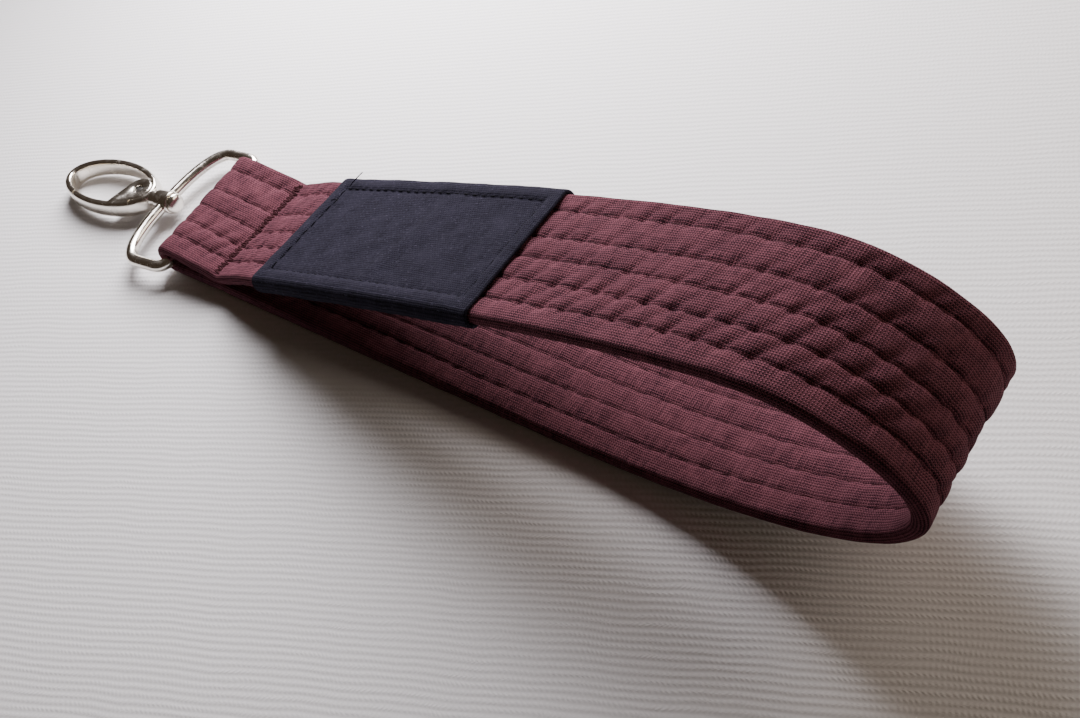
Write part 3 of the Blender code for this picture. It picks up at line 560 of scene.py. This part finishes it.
def paper(name, colour):
    """Pale embossed paper: fine uneven ribs crossed by finer ones, with a little fibre."""
    graph = Graph(name, colour, 0.85)
    where = graph.place()
    x, y = graph.split(where)
    drift = graph.noise(where, 60.0, 3.0)
    over, along = y * 0.91 - x * 0.415, x * 0.91 + y * 0.415
    streak = graph.grain(along, over, 90.0, 900.0)
    ribs = ((over + 0.0016 * drift) * (2 * math.pi / 0.0014)).sine()
    cross = ((along + 0.004 * drift + 0.0012 * streak) * (2 * math.pi / 0.0009)).sine()
    fibre = graph.noise(where, 1400.0, 4.0, 0.65)
    graph.set("Base Color", graph.mix(fibre.ramp(0.3, 0.8) * 0.5, rgba(colour), rgba(colour, 0.93)))
    graph.set("Roughness", 0.78 + 0.15 * fibre)
    relief = ribs * (0.25 + 0.9 * streak) + 0.55 * cross * (0.5 + 0.5 * ribs) + 0.6 * fibre
    graph.set("Normal", graph.bump(relief, 0.045, 0.7))
    return graph.material


# ---------- sewn pieces

def band_section(face, flat_half, bulge, count):
    """A band's section as y, depth and their normals round its outline, and its perimeter.

    Two flat faces with points at the given y are joined by half ellipses.
    """
    turn = np.linspace(-0.5 * math.pi, 0.5 * math.pi, count)[1:-1]
    edge_y = flat_half + bulge * np.cos(turn)
    edge_w = THICKNESS / 2 * (1.0 + np.sin(turn))
    none, ones = np.zeros_like(face), np.ones_like(face)
    y = np.r_[face, edge_y, face[::-1], -edge_y]
    w = np.r_[none, edge_w, THICKNESS * ones, edge_w[::-1]]
    ny = np.r_[none, np.cos(turn), none, -np.cos(turn)]
    nw = np.r_[-ones, np.sin(turn), ones, np.sin(turn[::-1])]
    around = np.r_[0.0, np.cumsum(np.hypot(np.diff(np.r_[y, y[0]]), np.diff(np.r_[w, w[0]])))]
    return y, w, ny, nw, around


def cover_mesh(settings):
    """The quilted sleeve: its section carried along the route and sunk by each face's relief.

    The section's points crowd together at the stitch lines.
    """
    flat_half = WIDTH / 2 - STRAP_EDGE
    near = (QUILT_LINES[:, None] + np.linspace(-0.9, 0.9, 7)).ravel()
    rest = np.linspace(-flat_half, flat_half, 41)
    apart = np.min(np.abs(rest[:, None] - QUILT_LINES), axis=1) > 1.15
    face = np.sort(np.r_[near, rest[apart]])
    y, w, ny, nw, around = band_section(face, flat_half, STRAP_EDGE, 9)
    u = np.linspace(0.3, ROUTE.total - 0.3, settings.rows)[:, None]
    outer = Quilting(settings, 0).relief(u, y)
    inner = Quilting(settings, 1).relief(u, y)
    swell = settings.ripple_height * ripple(u, 3.0 * w, 5, 7.0)
    sunk = np.where(nw < -0.99, outer, np.where(nw > 0.99, inner, 0.4 * swell - 0.05))
    rings = ROUTE.place(u, y - ny * sunk, w - nw * sunk)
    return make_mesh("strap_cloth", *swept(rings, uv_rows=np.r_[u[:, 0], u[-1, 0]], uv_cols=around))


def quilt_mesh(settings, face, number):
    """One line's stitches: each dives at its two holes and lies on the cloth between them."""
    quilting = Quilting(settings, face)
    holes = quilting.holes[number]
    holes = holes[(holes > 0.8) & (holes < ROUTE.total - 0.8)]
    t = np.linspace(0.0, 1.0, 13)
    u = holes[:-1, None] + 0.22 + (holes[1:] - holes[:-1] - 0.44)[:, None] * t
    y = quilting.line(number, u)
    on_top = np.sin(math.pi * t) ** 0.45
    radius = settings.thread_radius
    depth = quilting.relief(u, y) + 0.42 * (1.0 - on_top) - 0.55 * radius * on_top
    w = depth if face == 0 else THICKNESS - depth
    return strands(f"stitches_{face}_{number}", ROUTE.place(u, y, w), ROUTE.outward(u), radius)


def tack_mesh(settings, face):
    """The cross seam: two passes of close zigzag, each leg arched over the pressed cloth."""
    rng = np.random.default_rng(5 + face)
    quilting = Quilting(settings, 0)
    centre = ROUTE.tack_top if face == 0 else ROUTE.tack_under
    half = WIDTH / 2 - STRAP_EDGE
    t = np.linspace(0.0, 1.0, 9)
    legs = []
    for step, swing in ((settings.tack_pitch, 1.15), (1.4 * settings.tack_pitch, 0.8)):
        count = int(2 * half / step)
        y = np.linspace(-half, half, count + 1) + 0.10 * rng.standard_normal(count + 1)
        turn = centre + swing * np.where(np.arange(count + 1) % 2 == 0, -1.0, 1.0)
        turn += 0.16 * rng.standard_normal(count + 1)
        corners = np.stack([turn, y])[..., None]
        legs.append(corners[:, :-1] + np.diff(corners, axis=1) * t)
    u, y = np.concatenate(legs, axis=1)
    on_top = np.sin(math.pi * t) ** 0.4
    depth = quilting.relief(u, y) + 0.40 * (1.0 - on_top) - 0.9 * settings.thread_radius * on_top
    return strands(f"tack_{face}", ROUTE.place(u, y, depth), ROUTE.outward(u), settings.thread_radius)


def patch_limits():
    """The patch's two ends as distances along the route, the second one before the splice."""
    before = float(np.interp(-TACK_X - PATCH_AFTER_TACK, -ROUTE.points[:ROUTE.turn, 0],
                             ROUTE.length[:ROUTE.turn]))
    return before - PATCH_LENGTH, before


class PatchShape:
    """The wrapped patch: a band round the strap whose four edges are folded under and stitched."""

    def __init__(self, settings):
        self.settings = settings
        self.low, self.high = patch_limits()
        self.half = WIDTH / 2 + 0.10

    def rise(self, u, y):
        """Height above the band's inner surface on its two faces."""
        hem = self.settings.hem
        inward = np.minimum(np.minimum(u - self.low, self.high - u), self.half - np.abs(y))
        ridge = smooth_step((hem + 0.25 - inward) / 0.5)
        seam = np.exp(-((inward - hem) / 0.42) ** 2)
        lump = np.exp(-((inward - 0.55 * hem) / (0.40 * hem)) ** 2)
        pull = 0.5 + 0.5 * np.sin(2 * math.pi * (u + 0.6 * y) / self.settings.stitch_pitch)
        crease = np.exp(-((u - 0.5 * (self.low + self.high) + 0.25 * y + 4.0) / 2.4) ** 2)
        return (0.40 + 0.26 * ridge + 0.18 * lump * ridge - 0.32 * seam * (0.35 + 0.65 * pull)
                + 0.26 * crease * (1.0 - ridge) + 0.09 * ripple(u, y, 77, 11.0)
                + 0.05 * ripple(u, y, 78, 4.0))

    def place(self, u, y, rise, face):
        """Points above the outer face (0) or the inner face (1)."""
        w = -0.15 - rise if face == 0 else THICKNESS + 0.15 + rise
        return ROUTE.place(u, y, w, scaled=False)


def patch_mesh(settings):
    """The band: rows run out along its outside, round the end, back inside and round again."""
    shape = PatchShape(settings)
    flat_half = shape.half - PATCH_EDGE
    face = np.linspace(-flat_half, flat_half, 71)
    y, w, ny, nw, around = band_section(face, flat_half, PATCH_EDGE, 15)
    roll = np.linspace(-0.5 * math.pi, 0.5 * math.pi, 9)[1:-1]
    end, count = 0.4, 220
    out = np.linspace(shape.low + end, shape.high - end, count)
    back = out[::-11]
    u = np.r_[out, shape.high - end + end * np.cos(roll), back, shape.low + end - end * np.cos(roll)]
    level = np.r_[np.ones(count), 0.5 - 0.5 * np.sin(roll), np.zeros(len(back)), 0.5 + 0.5 * np.sin(roll)]
    u = u[:, None]
    level = level[:, None]
    lap = np.where(nw > 0.99, 0.35 * smooth_step((y - 3.0) / 0.35), 0.0)
    rise = shape.rise(u, np.where(np.abs(nw) > 0.99, y, shape.half - 1.0))
    height = 0.06 + level * (rise + lap)
    rings = ROUTE.place(u, y + ny * height, w + nw * height, scaled=False)
    quads, corner_rows, corner_cols = grid(len(u), len(y), True, True)
    uv_rows = np.r_[u[:, 0], u[0, 0]]
    uvs = np.stack([uv_rows[corner_rows], around[corner_cols]], -1)
    return make_mesh("patch_cloth", rings, [quads], [uvs])


def patch_stitch_mesh(settings, face):
    """Topstitching round the patch's face, and on the outer face two cut thread tails."""
    shape = PatchShape(settings)
    low = shape.low + settings.hem
    high = shape.high - settings.hem
    half = shape.half - settings.hem
    corners = np.array([[low, -half], [high, -half], [high, half], [low, half], [low, -half]])
    legs = []
    for here, after in zip(corners[:-1], corners[1:]):
        count = int(round(np.linalg.norm(after - here) / settings.stitch_pitch))
        marks = here + (after - here) * np.linspace(0.0, 1.0, count + 1)[:, None]
        legs.append(np.stack([marks[:-1], marks[1:]]))
    start, end = np.concatenate(legs, axis=1)[:, :, None]
    t = np.linspace(0.06, 0.94, 9)
    path = start + (end - start) * t[:, None]
    u, y = path[..., 0], path[..., 1]
    on_top = np.sin(math.pi * (t - 0.06) / 0.88) ** 0.45
    rise = shape.rise(u, y) + 0.06 - 0.35 * (1.0 - on_top) + 0.35 * settings.thread_radius * on_top
    points = shape.place(u, y, rise - 0.15, face)
    if face == 0:
        s = np.linspace(0.0, 1.0, 9)
        tails = (((high - 1.6, half), (-2.4, 3.4), 1.3), ((high + 0.4, half - 4.5), (-3.6, -0.6), 0.5))
        for begin, reach, lift in tails:
            tail_u = begin[0] + reach[0] * s
            tail_y = begin[1] + reach[1] * s + 0.5 * np.sin(3.0 * s)
            tail = shape.place(tail_u, tail_y, 0.85 + lift * s ** 0.7, 0)
            points = np.concatenate([points, tail[None]])
            u = np.concatenate([u, tail_u[None]])
    return strands(f"patch_stitches_{face}", points, ROUTE.outward(u), settings.thread_radius)


# ---------- cast pieces

def in_ring_frame(points, outward=0.0):
    """Points (p outward, q across, z up) from a distance outward of the bar, in the row's frame."""
    return (BAR + (points[..., :1] + outward) * OUTWARD + points[..., 1:2] * SIDE
            + points[..., 2:] * UPWARD)


def lathe(profile, steps=64):
    """Rings (profile, steps, 3) of a profile (distance outward, radius) turned about the axis."""
    turn = np.linspace(0.0, 2 * math.pi, steps, endpoint=False)
    profile = np.asarray(profile, float)
    out = np.broadcast_to(profile[:, :1], (len(profile), steps))
    return np.stack([out, profile[:, 1:] * np.cos(turn), profile[:, 1:] * np.sin(turn)], -1)


def upright_lathe(profile, out, side, steps=64):
    """Like lathe, about an upright axis at (out, side): the profile is (height, radius)."""
    rings = lathe(profile, steps)
    return np.stack([out + rings[..., 1], side + rings[..., 2], rings[..., 0]], -1)


def rounded(low, high, outer, corner, inner=0.02, steps=5):
    """A profile from the axis out to a radius and back, with rounded corners."""
    turn = np.linspace(0.0, 0.5 * math.pi, steps)
    first = np.c_[low + corner * (1 - np.cos(turn)), outer - corner * (1 - np.sin(turn))]
    last = np.c_[high - corner * (1 - np.cos(turn[::-1])), outer - corner * (1 - np.sin(turn[::-1]))]
    return np.vstack([[low, inner], first, last, [high, inner]])


def ring_mesh(settings):
    """The D-ring: a round wire on its bent centreline, with a bored boss in its arched front."""
    half = WIDTH / 2 + 1.0 + RING_WIRE
    straight = half - 3.0
    bar = np.linspace(0.0, straight, 16)[:-1]
    corner = np.radians(np.linspace(0.0, 90.0, 14))
    arch = np.radians(np.linspace(0.0, 90.0, 56))[1:]
    out = np.r_[0 * bar, 3.0 * (1 - np.cos(corner)),
                RING_SHOULDER + (RING_DEPTH - RING_SHOULDER) * np.sin(arch) ** 0.85]
    side = np.r_[bar, straight + 3.0 * np.sin(corner), half * np.clip(np.cos(arch), 0.0, 1.0) ** 0.80]
    out = np.r_[out, out[-2:0:-1]]
    side = np.r_[side, -side[-2:0:-1]]
    for _ in range(3):
        out = 0.25 * np.roll(out, 1) + 0.5 * out + 0.25 * np.roll(out, -1)
        side = 0.25 * np.roll(side, 1) + 0.5 * side + 0.25 * np.roll(side, -1)
    centre = np.stack([out, side, 0 * out], -1)
    ahead = unit(np.roll(centre, -1, axis=0) - np.roll(centre, 1, axis=0))
    across = np.stack([-ahead[:, 1], ahead[:, 0], 0 * out], -1)
    turn = np.linspace(0.0, 2 * math.pi, 28, endpoint=False)
    wire = centre[:, None] + RING_WIRE * (np.cos(turn)[:, None] * across[:, None]
                                          + np.sin(turn)[:, None] * np.array([0.0, 0.0, 1.0]))
    half, outer, bore = 2.2, 2.7, 1.35
    profile = np.vstack([
        rounded(-half, half, outer, settings.edge_radius, steps=6)[1:-1],
        [[half, bore + 0.1], [half - 0.1, bore], [-half + 0.1, bore], [-half, bore + 0.1]],
    ])
    boss = lathe(profile, 56)
    boss[..., 0] += RING_DEPTH
    return merged("ring_metal", [swept(in_ring_frame(wire), wrap_rows=True),
                                 swept(in_ring_frame(boss), wrap_rows=True)])


def oval_point(angle, inset):
    """A point (p, q) of the oval rim, inset from its outer edge; angle 0 is the free end."""
    return np.stack([OVAL_CENTRE + (OVAL[0] - inset) * np.cos(angle),
                     (OVAL[1] - inset) * np.sin(angle)], -1)


def angle_at(value, target, low, high):
    """The angle between two others where a rising function of the rim's mid line meets a target."""
    angle = np.linspace(low, high, 4000)
    return float(angle[np.argmin(np.abs(value(oval_point(angle, RIM / 2)) - target))])


def squared_circle(turn, power):
    """The cosine and sine of an angle, raised to a power with their signs kept."""
    return [np.sign(part) * np.abs(part) ** power for part in (np.cos(turn), np.sin(turn))]


def rim_rings(start, end, start_cut, end_cut, count, settings):
    """Rings of the cast rim between two angles; a cut is the direction an end face follows.

    The section is a rounded bar |x/a|^n + |z/b|^n = 1, swollen on its outer side.
    """
    angle = np.linspace(start, end, count)
    angle = np.r_[start, start + 0.006, angle[1:-1], end - 0.006, end]
    middle = oval_point(angle, RIM / 2)
    outer = unit(np.stack([np.cos(angle) / OVAL[0], np.sin(angle) / OVAL[1]], -1))
    across = outer.copy()
    for rows, cut in (((0, 1), start_cut), ((-2, -1), end_cut)):
        cut = unit(np.asarray(cut, float))
        for row in rows:
            across[row] = cut / float(cut @ outer[row])
    turn = np.linspace(0.0, 2 * math.pi, 40, endpoint=False)
    x, z = squared_circle(turn, 2.0 / settings.rim_squareness)
    z *= CLASP_HALF
    x = RIM / 2 * x + 0.16 * np.where(x > 0.0, 1.0 - (z / CLASP_HALF) ** 2, 0.0) * x
    size = np.ones(len(angle))
    size[[0, -1]] = 0.90
    flat = middle[:, None] + (size[:, None] * x)[..., None] * across[:, None]
    return np.concatenate([flat, (size[:, None] * z)[..., None]], -1)


def seams():
    """Rim angles of the seam at the gate's free end and at its root, the gate's side then the hook's."""
    pivot = np.array([PIVOT_OUT, 0.0])
    lap = [angle_at(lambda p: np.linalg.norm(p - pivot, axis=-1), LAP_RADIUS + shift,
                    1.5 * math.pi, 2.0 * math.pi) for shift in (-SEAM / 2, SEAM / 2)]
    root = [angle_at(lambda p: p[..., 0], ROOT_OUT + shift, math.pi, 1.5 * math.pi)
            for shift in (SEAM / 2, -SEAM / 2)]
    return lap, root


def lap_cut(angle):
    """The direction square to the line from the pin to the rim."""
    reach = oval_point(np.array(angle), RIM / 2) - [PIVOT_OUT, 0.0]
    return np.array([-reach[1], reach[0]])


def carved(mesh, cutters):
    """A mesh with other meshes cut out of it."""
    target = linked("carved", mesh)
    tools = [linked("cutter", cutter) for cutter in cutters]
    for tool in tools:
        step = target.modifiers.new("cut", "BOOLEAN")
        step.operation = "DIFFERENCE"
        step.solver = "EXACT"
        step.use_self = True
        step.object = tool
    depsgraph = bpy.context.evaluated_depsgraph_get()
    done = bpy.data.meshes.new_from_object(target.evaluated_get(depsgraph))
    for item in (target, *tools):
        bpy.data.objects.remove(item)
    return done


def joined(name, meshes):
    """One mesh of several, by way of their arrays."""
    solids = []
    for mesh in meshes:
        vertices = np.zeros(len(mesh.vertices) * 3)
        mesh.vertices.foreach_get("co", vertices)
        mesh.calc_loop_triangles()
        faces = np.zeros(len(mesh.loop_triangles) * 3, np.int32)
        mesh.loop_triangles.foreach_get("vertices", faces)
        faces = faces.reshape(-1, 3)
        solids.append((vertices.reshape(-1, 3) / MM, [faces], [np.zeros((len(faces), 3, 2))]))
    made = merged(name, solids)
    made.set_sharp_from_angle(angle=math.radians(32.0))
    return made


def hook_mesh(settings):
    """The hook's casting: stem, neck, tongue, spring finger and the fixed part of the rim."""
    lap, root = seams()
    rim = rim_rings(lap[1] - 2 * math.pi, root[1], lap_cut(lap[1]), (0.0, -1.0), 150, settings)
    room = CHEEK_RADIUS + SEAM
    recess = [upright_lathe([(low, 0.05), (low, room), (high, room), (high, 0.05)], PIVOT_OUT, 0.0, 72)
              for low, high in ((TONGUE_HALF, 3.5), (-3.5, -TONGUE_HALF))]
    base = RING_DEPTH
    cut = carved(merged("rim", [swept(in_ring_frame(rim, base))]),
                 [merged("recess", [swept(in_ring_frame(shape, base))]) for shape in recess])
    head = lathe([(-3.90, 0.02), (-3.88, 0.9), (-3.72, 1.6), (-3.40, 2.15), (-3.05, 2.38), (-2.75, 2.40),
                  (-2.55, 2.30), (-2.50, 2.1), (-2.50, 1.12), (2.50, 1.12), (2.50, 1.7), (2.62, 1.88),
                  (2.90, 1.96), (3.60, 2.00), (4.30, 2.10), (4.88, 2.2), (4.90, 1.9), (4.90, 0.02)])
    tongue = upright_lathe(rounded(-TONGUE_HALF, TONGUE_HALF, 3.3, 0.2), PIVOT_OUT, 0.0)
    turn = np.linspace(0.0, 2 * math.pi, 32, endpoint=False)
    box = np.stack(squared_circle(turn, 0.4), -1)
    bridge = np.array([[[p, 1.9 * a, TONGUE_HALF * b] for a, b in box] for p in (4.2, 4.3, 8.4, 8.5)])
    finger = np.array([[[PIVOT_OUT + 3.6 + 0.95 * a, -1.6 * s, 0.72 * b] for a, b in box * k]
                       for s, k in ((0.0, 1.0), (0.9, 1.0), (1.0, 0.88))])
    root_bar = np.array([[[p, -0.7 + 0.7 * a, 0.72 * b] for a, b in box]
                         for p in (PIVOT_OUT, PIVOT_OUT + 3.6)])
    solids = [swept(in_ring_frame(shape, base)) for shape in (head, tongue, bridge, finger, root_bar)]
    return joined("hook_metal", [cut, merged("castings", solids)])


def cheek_rings(low, high, settings):
    """A cheek of the gate: a disc run out to the arm, holed for the pin, its edges rounded."""
    tip = oval_point(np.radians(248.0), RIM / 2)
    span = tip - [PIVOT_OUT, 0.0]
    distance = float(np.linalg.norm(span))
    small = 0.55
    heading = math.atan2(span[1], span[0])
    spread = math.acos((CHEEK_RADIUS - small) / distance)
    angle = np.linspace(0.0, 2 * math.pi, 96, endpoint=False)
    away = np.abs((angle - heading + math.pi) % (2 * math.pi) - math.pi)
    tangent = CHEEK_RADIUS / np.maximum(np.cos(np.clip(spread - away, -1.4, 1.4)), 0.05)
    along = distance * np.cos(away)
    reach = along + np.sqrt(np.maximum(small ** 2 - (distance * np.sin(away)) ** 2, 0.0))
    facing = away < math.asin(small / distance)
    radius = np.where(away < spread, tangent, CHEEK_RADIUS)
    radius = np.where(facing, np.minimum(reach, radius), radius)
    hole = PIN_RADIUS + 0.12
    levels = [(0.0, hole, low + 0.1), (0.0, hole + 0.1, low)]
    levels += [(1.0, back, height) for height, back in rounded(low, high, 0.0, settings.edge_radius)[1:-1]]
    levels += [(0.0, hole + 0.14, high), (0.0, hole, high - 0.14)]
    rings = []
    for share, extra, height in levels:
        size = share * radius + extra
        rings.append(np.stack([PIVOT_OUT + size * np.cos(angle), size * np.sin(angle),
                               np.full_like(angle, height)], -1))
    return np.array(rings)


def gate_mesh(settings):
    """The gate: the sprung part of the rim and its two cheeks."""
    lap, root = seams()
    rim = rim_rings(root[0], lap[0], (0.0, -1.0), lap_cut(lap[0]), 90, settings)
    inner = TONGUE_HALF + 0.3
    top = cheek_rings(inner, CLASP_HALF - 0.02, settings)
    low = cheek_rings(-CLASP_HALF + 0.02, -inner, settings)
    solids = [swept(in_ring_frame(rim, RING_DEPTH)),
              swept(in_ring_frame(top, RING_DEPTH), wrap_rows=True),
              swept(in_ring_frame(low, RING_DEPTH), wrap_rows=True)]
    mesh = merged("gate_metal", solids)
    mesh.set_sharp_from_angle(angle=math.radians(50.0))
    return mesh


def pin_mesh(settings):
    """The gate's pin, with rounded ends."""
    rings = upright_lathe(rounded(-1.75, 1.75, PIN_RADIUS, settings.edge_radius), PIVOT_OUT, 0.0, 40)
    return merged("pin_metal", [swept(in_ring_frame(rings, RING_DEPTH))])


def spring_mesh(settings):
    """The gate's coil spring: p + r(cos a, sin a) carried along the line across the clasp."""
    turns = 4
    turn = np.linspace(0.0, 2 * math.pi * turns, 28 * turns)
    start, end = 2.02, 4.50
    path = np.stack([PIVOT_OUT + 3.7 + 0.6 * np.cos(turn), -start - (end - start) * turn / turn[-1],
                     0.6 * np.sin(turn)], -1)
    side = np.stack([np.cos(turn), 0 * turn, np.sin(turn)], -1)
    world = in_ring_frame(path, RING_DEPTH)
    lean = in_ring_frame(side) - BAR
    return strands("spring_metal", world[None], lean[None], 0.12)


# ---------- settings

def number(name, description, default, **limits):
    """A plain setting."""
    return FloatProperty(name=name, description=description, default=default, **limits)


def length(name, description, default):
    """A setting in millimetres."""
    return number(name, description, default, min=0.0, precision=3)


class WristletStrapSettings(bpy.types.PropertyGroup):
    groove_depth: length("Groove depth", "Depth of a stitch line below the quilted crest, mm", 0.66)
    pucker_depth: length("Pucker depth", "Depth of the cloth pulled in at a stitch hole, mm", 0.62)
    ripple_height: length("Ripple height", "Height of the cloth's loose ripples, mm", 0.13)
    stitch_pitch: length("Stitch pitch", "Distance between needle holes, mm", 5.0)
    thread_radius: length("Thread radius", "Radius of the quilting thread, mm", 0.15)
    tack_pitch: length("Tack pitch", "Distance between zigzag turns of the cross seam, mm", 0.55)
    rows: IntProperty(name="Rows", description="Stations along the strap", default=680, min=50)


class WristletPatchSettings(bpy.types.PropertyGroup):
    hem: length("Hem", "Width of the folded border, mm", 3.4)
    stitch_pitch: length("Stitch pitch", "Distance between needle holes, mm", 2.6)
    thread_radius: length("Thread radius", "Radius of the topstitching thread, mm", 0.12)


class WristletMetalSettings(bpy.types.PropertyGroup):
    edge_radius: length("Edge radius", "Rounding of turned and flat edges, mm", 0.35)
    rim_squareness: number("Rim squareness", "Power of the rim's section", 3.4, min=2.0)


class WristletStageSettings(bpy.types.PropertyGroup):
    azimuth: number("Azimuth", "Camera's direction round the object, degrees", 50.75)
    elevation: number("Elevation", "Camera's height above the horizon, degrees", 48.73)
    roll: number("Roll", "Camera's roll, degrees", -20.31)
    distance: length("Distance", "From the camera to its target, mm", 240.44)
    lens: number("Lens", "Focal length on a 36 mm sensor, mm", 40.76)
    key_power: number("Key power", "Power of the window light", 2.45, min=0.0)
    side_power: number("Side power", "Power of the side light", 0.95, min=0.0)
    fill: number("Fill", "Strength of the surrounding light", 0.050, min=0.0)


# ---------- operators

class WRISTLET_OT_strap(bpy.types.Operator):
    """Build the quilted sleeve with all its quilting and cross-seam stitches"""
    bl_idname = "wristlet.strap"
    bl_label = "Strap"

    def execute(self, context):
        settings = context.scene.wristlet_strap
        cloth = woven_cloth("shot_cotton", (0.182, 0.065, 0.084), (0.012, 0.004, 0.009), 0.26, 0.02, 0.18)
        thread = sewing_thread("maroon_sewing_thread", (0.048, 0.0125, 0.017))
        cover = show("strap_cloth", cover_mesh(settings), "strap", ("strap_cover", "strap_batting"),
                     cloth)
        for face, kind in enumerate(("quilt_thread", "bobbin_thread")):
            for number in range(len(QUILT_LINES)):
                show(f"stitches_{kind}_{number + 1}", quilt_mesh(settings, face, number), "strap",
                     (f"{kind}_{number + 1}",), thread)
        for face, node in enumerate(("tack_thread", "tack_bobbin_thread")):
            show(f"stitches_{node}", tack_mesh(settings, face), "strap", (node,), thread)
        return {"FINISHED"}


class WRISTLET_OT_patch(bpy.types.Operator):
    """Build the wrapped patch and its topstitching"""
    bl_idname = "wristlet.patch"
    bl_label = "Patch"

    def execute(self, context):
        settings = context.scene.wristlet_patch
        cloth = woven_cloth("navy_linen", (0.0265, 0.0245, 0.0385), (0.0050, 0.0046, 0.0090),
                            0.25, 0.10, 0.25, 0.80)
        thread = sewing_thread("navy_sewing_thread", (0.0032, 0.0030, 0.0060))
        show("patch_cloth", patch_mesh(settings), "strap", ("splice_patch",), cloth)
        for face, node in enumerate(("patch_thread", "patch_bobbin_thread")):
            show(f"stitches_{node}", patch_stitch_mesh(settings, face), "strap", (node,), thread)
        return {"FINISHED"}


class WRISTLET_OT_metal(bpy.types.Operator):
    """Build the D-ring, the clasp, its gate, pin and spring"""
    bl_idname = "wristlet.metal"
    bl_label = "Ring and clasp"

    def execute(self, context):
        settings = context.scene.wristlet_metal
        nickel = polished_metal("nickel_plate", (0.86, 0.82, 0.75), 0.18)
        steel = polished_metal("drawn_steel", (0.50, 0.49, 0.48), 0.25)
        for name, build, body, node in (("ring_metal", ring_mesh, "ring", "d_ring"),
                                        ("hook_metal", hook_mesh, "clasp", "hook_body"),
                                        ("gate_metal", gate_mesh, "gate", "gate")):
            show(name, build(settings), body, (node,), nickel)
        show("pin_metal", pin_mesh(settings), "clasp", ("gate_pin",), steel)
        spring = show("spring_metal", spring_mesh(settings), "clasp", ("gate_spring",), steel)
        finger = in_ring_frame(np.array([[PIVOT_OUT + 3.7, -1.9, 0.0]]), RING_DEPTH)[0] * MM
        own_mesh(spring)
        return {"FINISHED"}


class WRISTLET_OT_stage(bpy.types.Operator):
    """Set the floor, the lights and the camera"""
    bl_idname = "wristlet.stage"
    bl_label = "Stage"

    def execute(self, context):
        settings = context.scene.wristlet_stage
        floor = bpy.data.meshes.new("floor")
        half, drop = 1.5, 0.0003
        floor.from_pydata([(-half, -half, 0), (half, -half, 0), (half, half, 0), (-half, half, 0)], [],
                          [(0, 1, 2, 3)])
        floor.materials.append(paper("embossed_paper", (0.80, 0.79, 0.80)))
        ground = linked("floor", floor)
        ground.location.z = -drop
        target = Vector((0.03595, -0.00066, 0.0))
        lights = (("window", (-0.147, 0.169, 0.151), 0.167, settings.key_power, (1.000, 0.964, 0.992)),
                  ("side", (0.200, 0.300, 0.120), 0.300, settings.side_power, (1.000, 0.862, 0.725)))
        for name, where, size, power, colour in lights:
            data = bpy.data.lights.new(name, "AREA")
            data.shape = "SQUARE"
            data.size = size
            data.energy = power
            data.color = colour
            lamp = linked(name, data)
            lamp.location = target + Vector(where)
            lamp.rotation_euler = (-Vector(where)).to_track_quat("-Z", "Y").to_euler()
        world = bpy.data.worlds.new("room")
        world.use_nodes = True
        background = world.node_tree.nodes["Background"].inputs
        background[0].default_value = rgba((1.0, 0.73, 0.53))
        background[1].default_value = settings.fill
        context.scene.world = world
        azimuth, elevation, roll = (math.radians(angle) for angle in
                                    (settings.azimuth, settings.elevation, settings.roll))
        back = Vector((math.sin(azimuth) * math.cos(elevation), -math.cos(azimuth) * math.cos(elevation),
                       math.sin(elevation)))
        data = bpy.data.cameras.new("camera")
        data.lens = settings.lens
        data.sensor_width = 36.0
        data.clip_start = 0.01
        camera = linked("camera", data)
        right = (-back).cross(Vector((0.0, 0.0, 1.0))).normalized()
        up = right.cross(-back)
        level = Matrix((right, up, back)).transposed()
        camera.matrix_world = (Matrix.Translation(target + settings.distance * MM * back)
                               @ (level @ Matrix.Rotation(roll, 3, "Z")).to_4x4())
        context.scene.camera = camera
        return {"FINISHED"}


class WRISTLET_PT_panel(bpy.types.Panel):
    """The add-on's buttons and settings"""
    bl_idname = "WRISTLET_PT_panel"
    bl_label = "Wristlet"
    bl_space_type = "VIEW_3D"
    bl_region_type = "UI"
    bl_category = "Wristlet"

    def draw(self, context):
        for group, operator in GROUPS:
            settings = getattr(context.scene, group)
            for key in settings.bl_rna.properties.keys():
                if key not in ("rna_type", "name"):
                    self.layout.prop(settings, key)
            self.layout.operator(operator)


GROUPS = (("wristlet_strap", "wristlet.strap"), ("wristlet_patch", "wristlet.patch"),
          ("wristlet_metal", "wristlet.metal"), ("wristlet_stage", "wristlet.stage"))
SETTINGS = (WristletStrapSettings, WristletPatchSettings, WristletMetalSettings, WristletStageSettings)
CLASSES = (*SETTINGS, WRISTLET_OT_strap, WRISTLET_OT_patch, WRISTLET_OT_metal, WRISTLET_OT_stage,
           WRISTLET_PT_panel)


def register():
    for item in CLASSES:
        bpy.utils.register_class(item)
    for (group, _), kind in zip(GROUPS, SETTINGS):
        setattr(bpy.types.Scene, group, PointerProperty(type=kind))


def unregister():
    for group, _ in GROUPS:
        delattr(bpy.types.Scene, group)
    for item in reversed(CLASSES):
        bpy.utils.unregister_class(item)


def main():
    register()
    bpy.ops.wristlet.strap()
    bpy.ops.wristlet.patch()
    bpy.ops.wristlet.metal()
    bpy.ops.wristlet.stage()


if __name__ == "__main__":
    main()
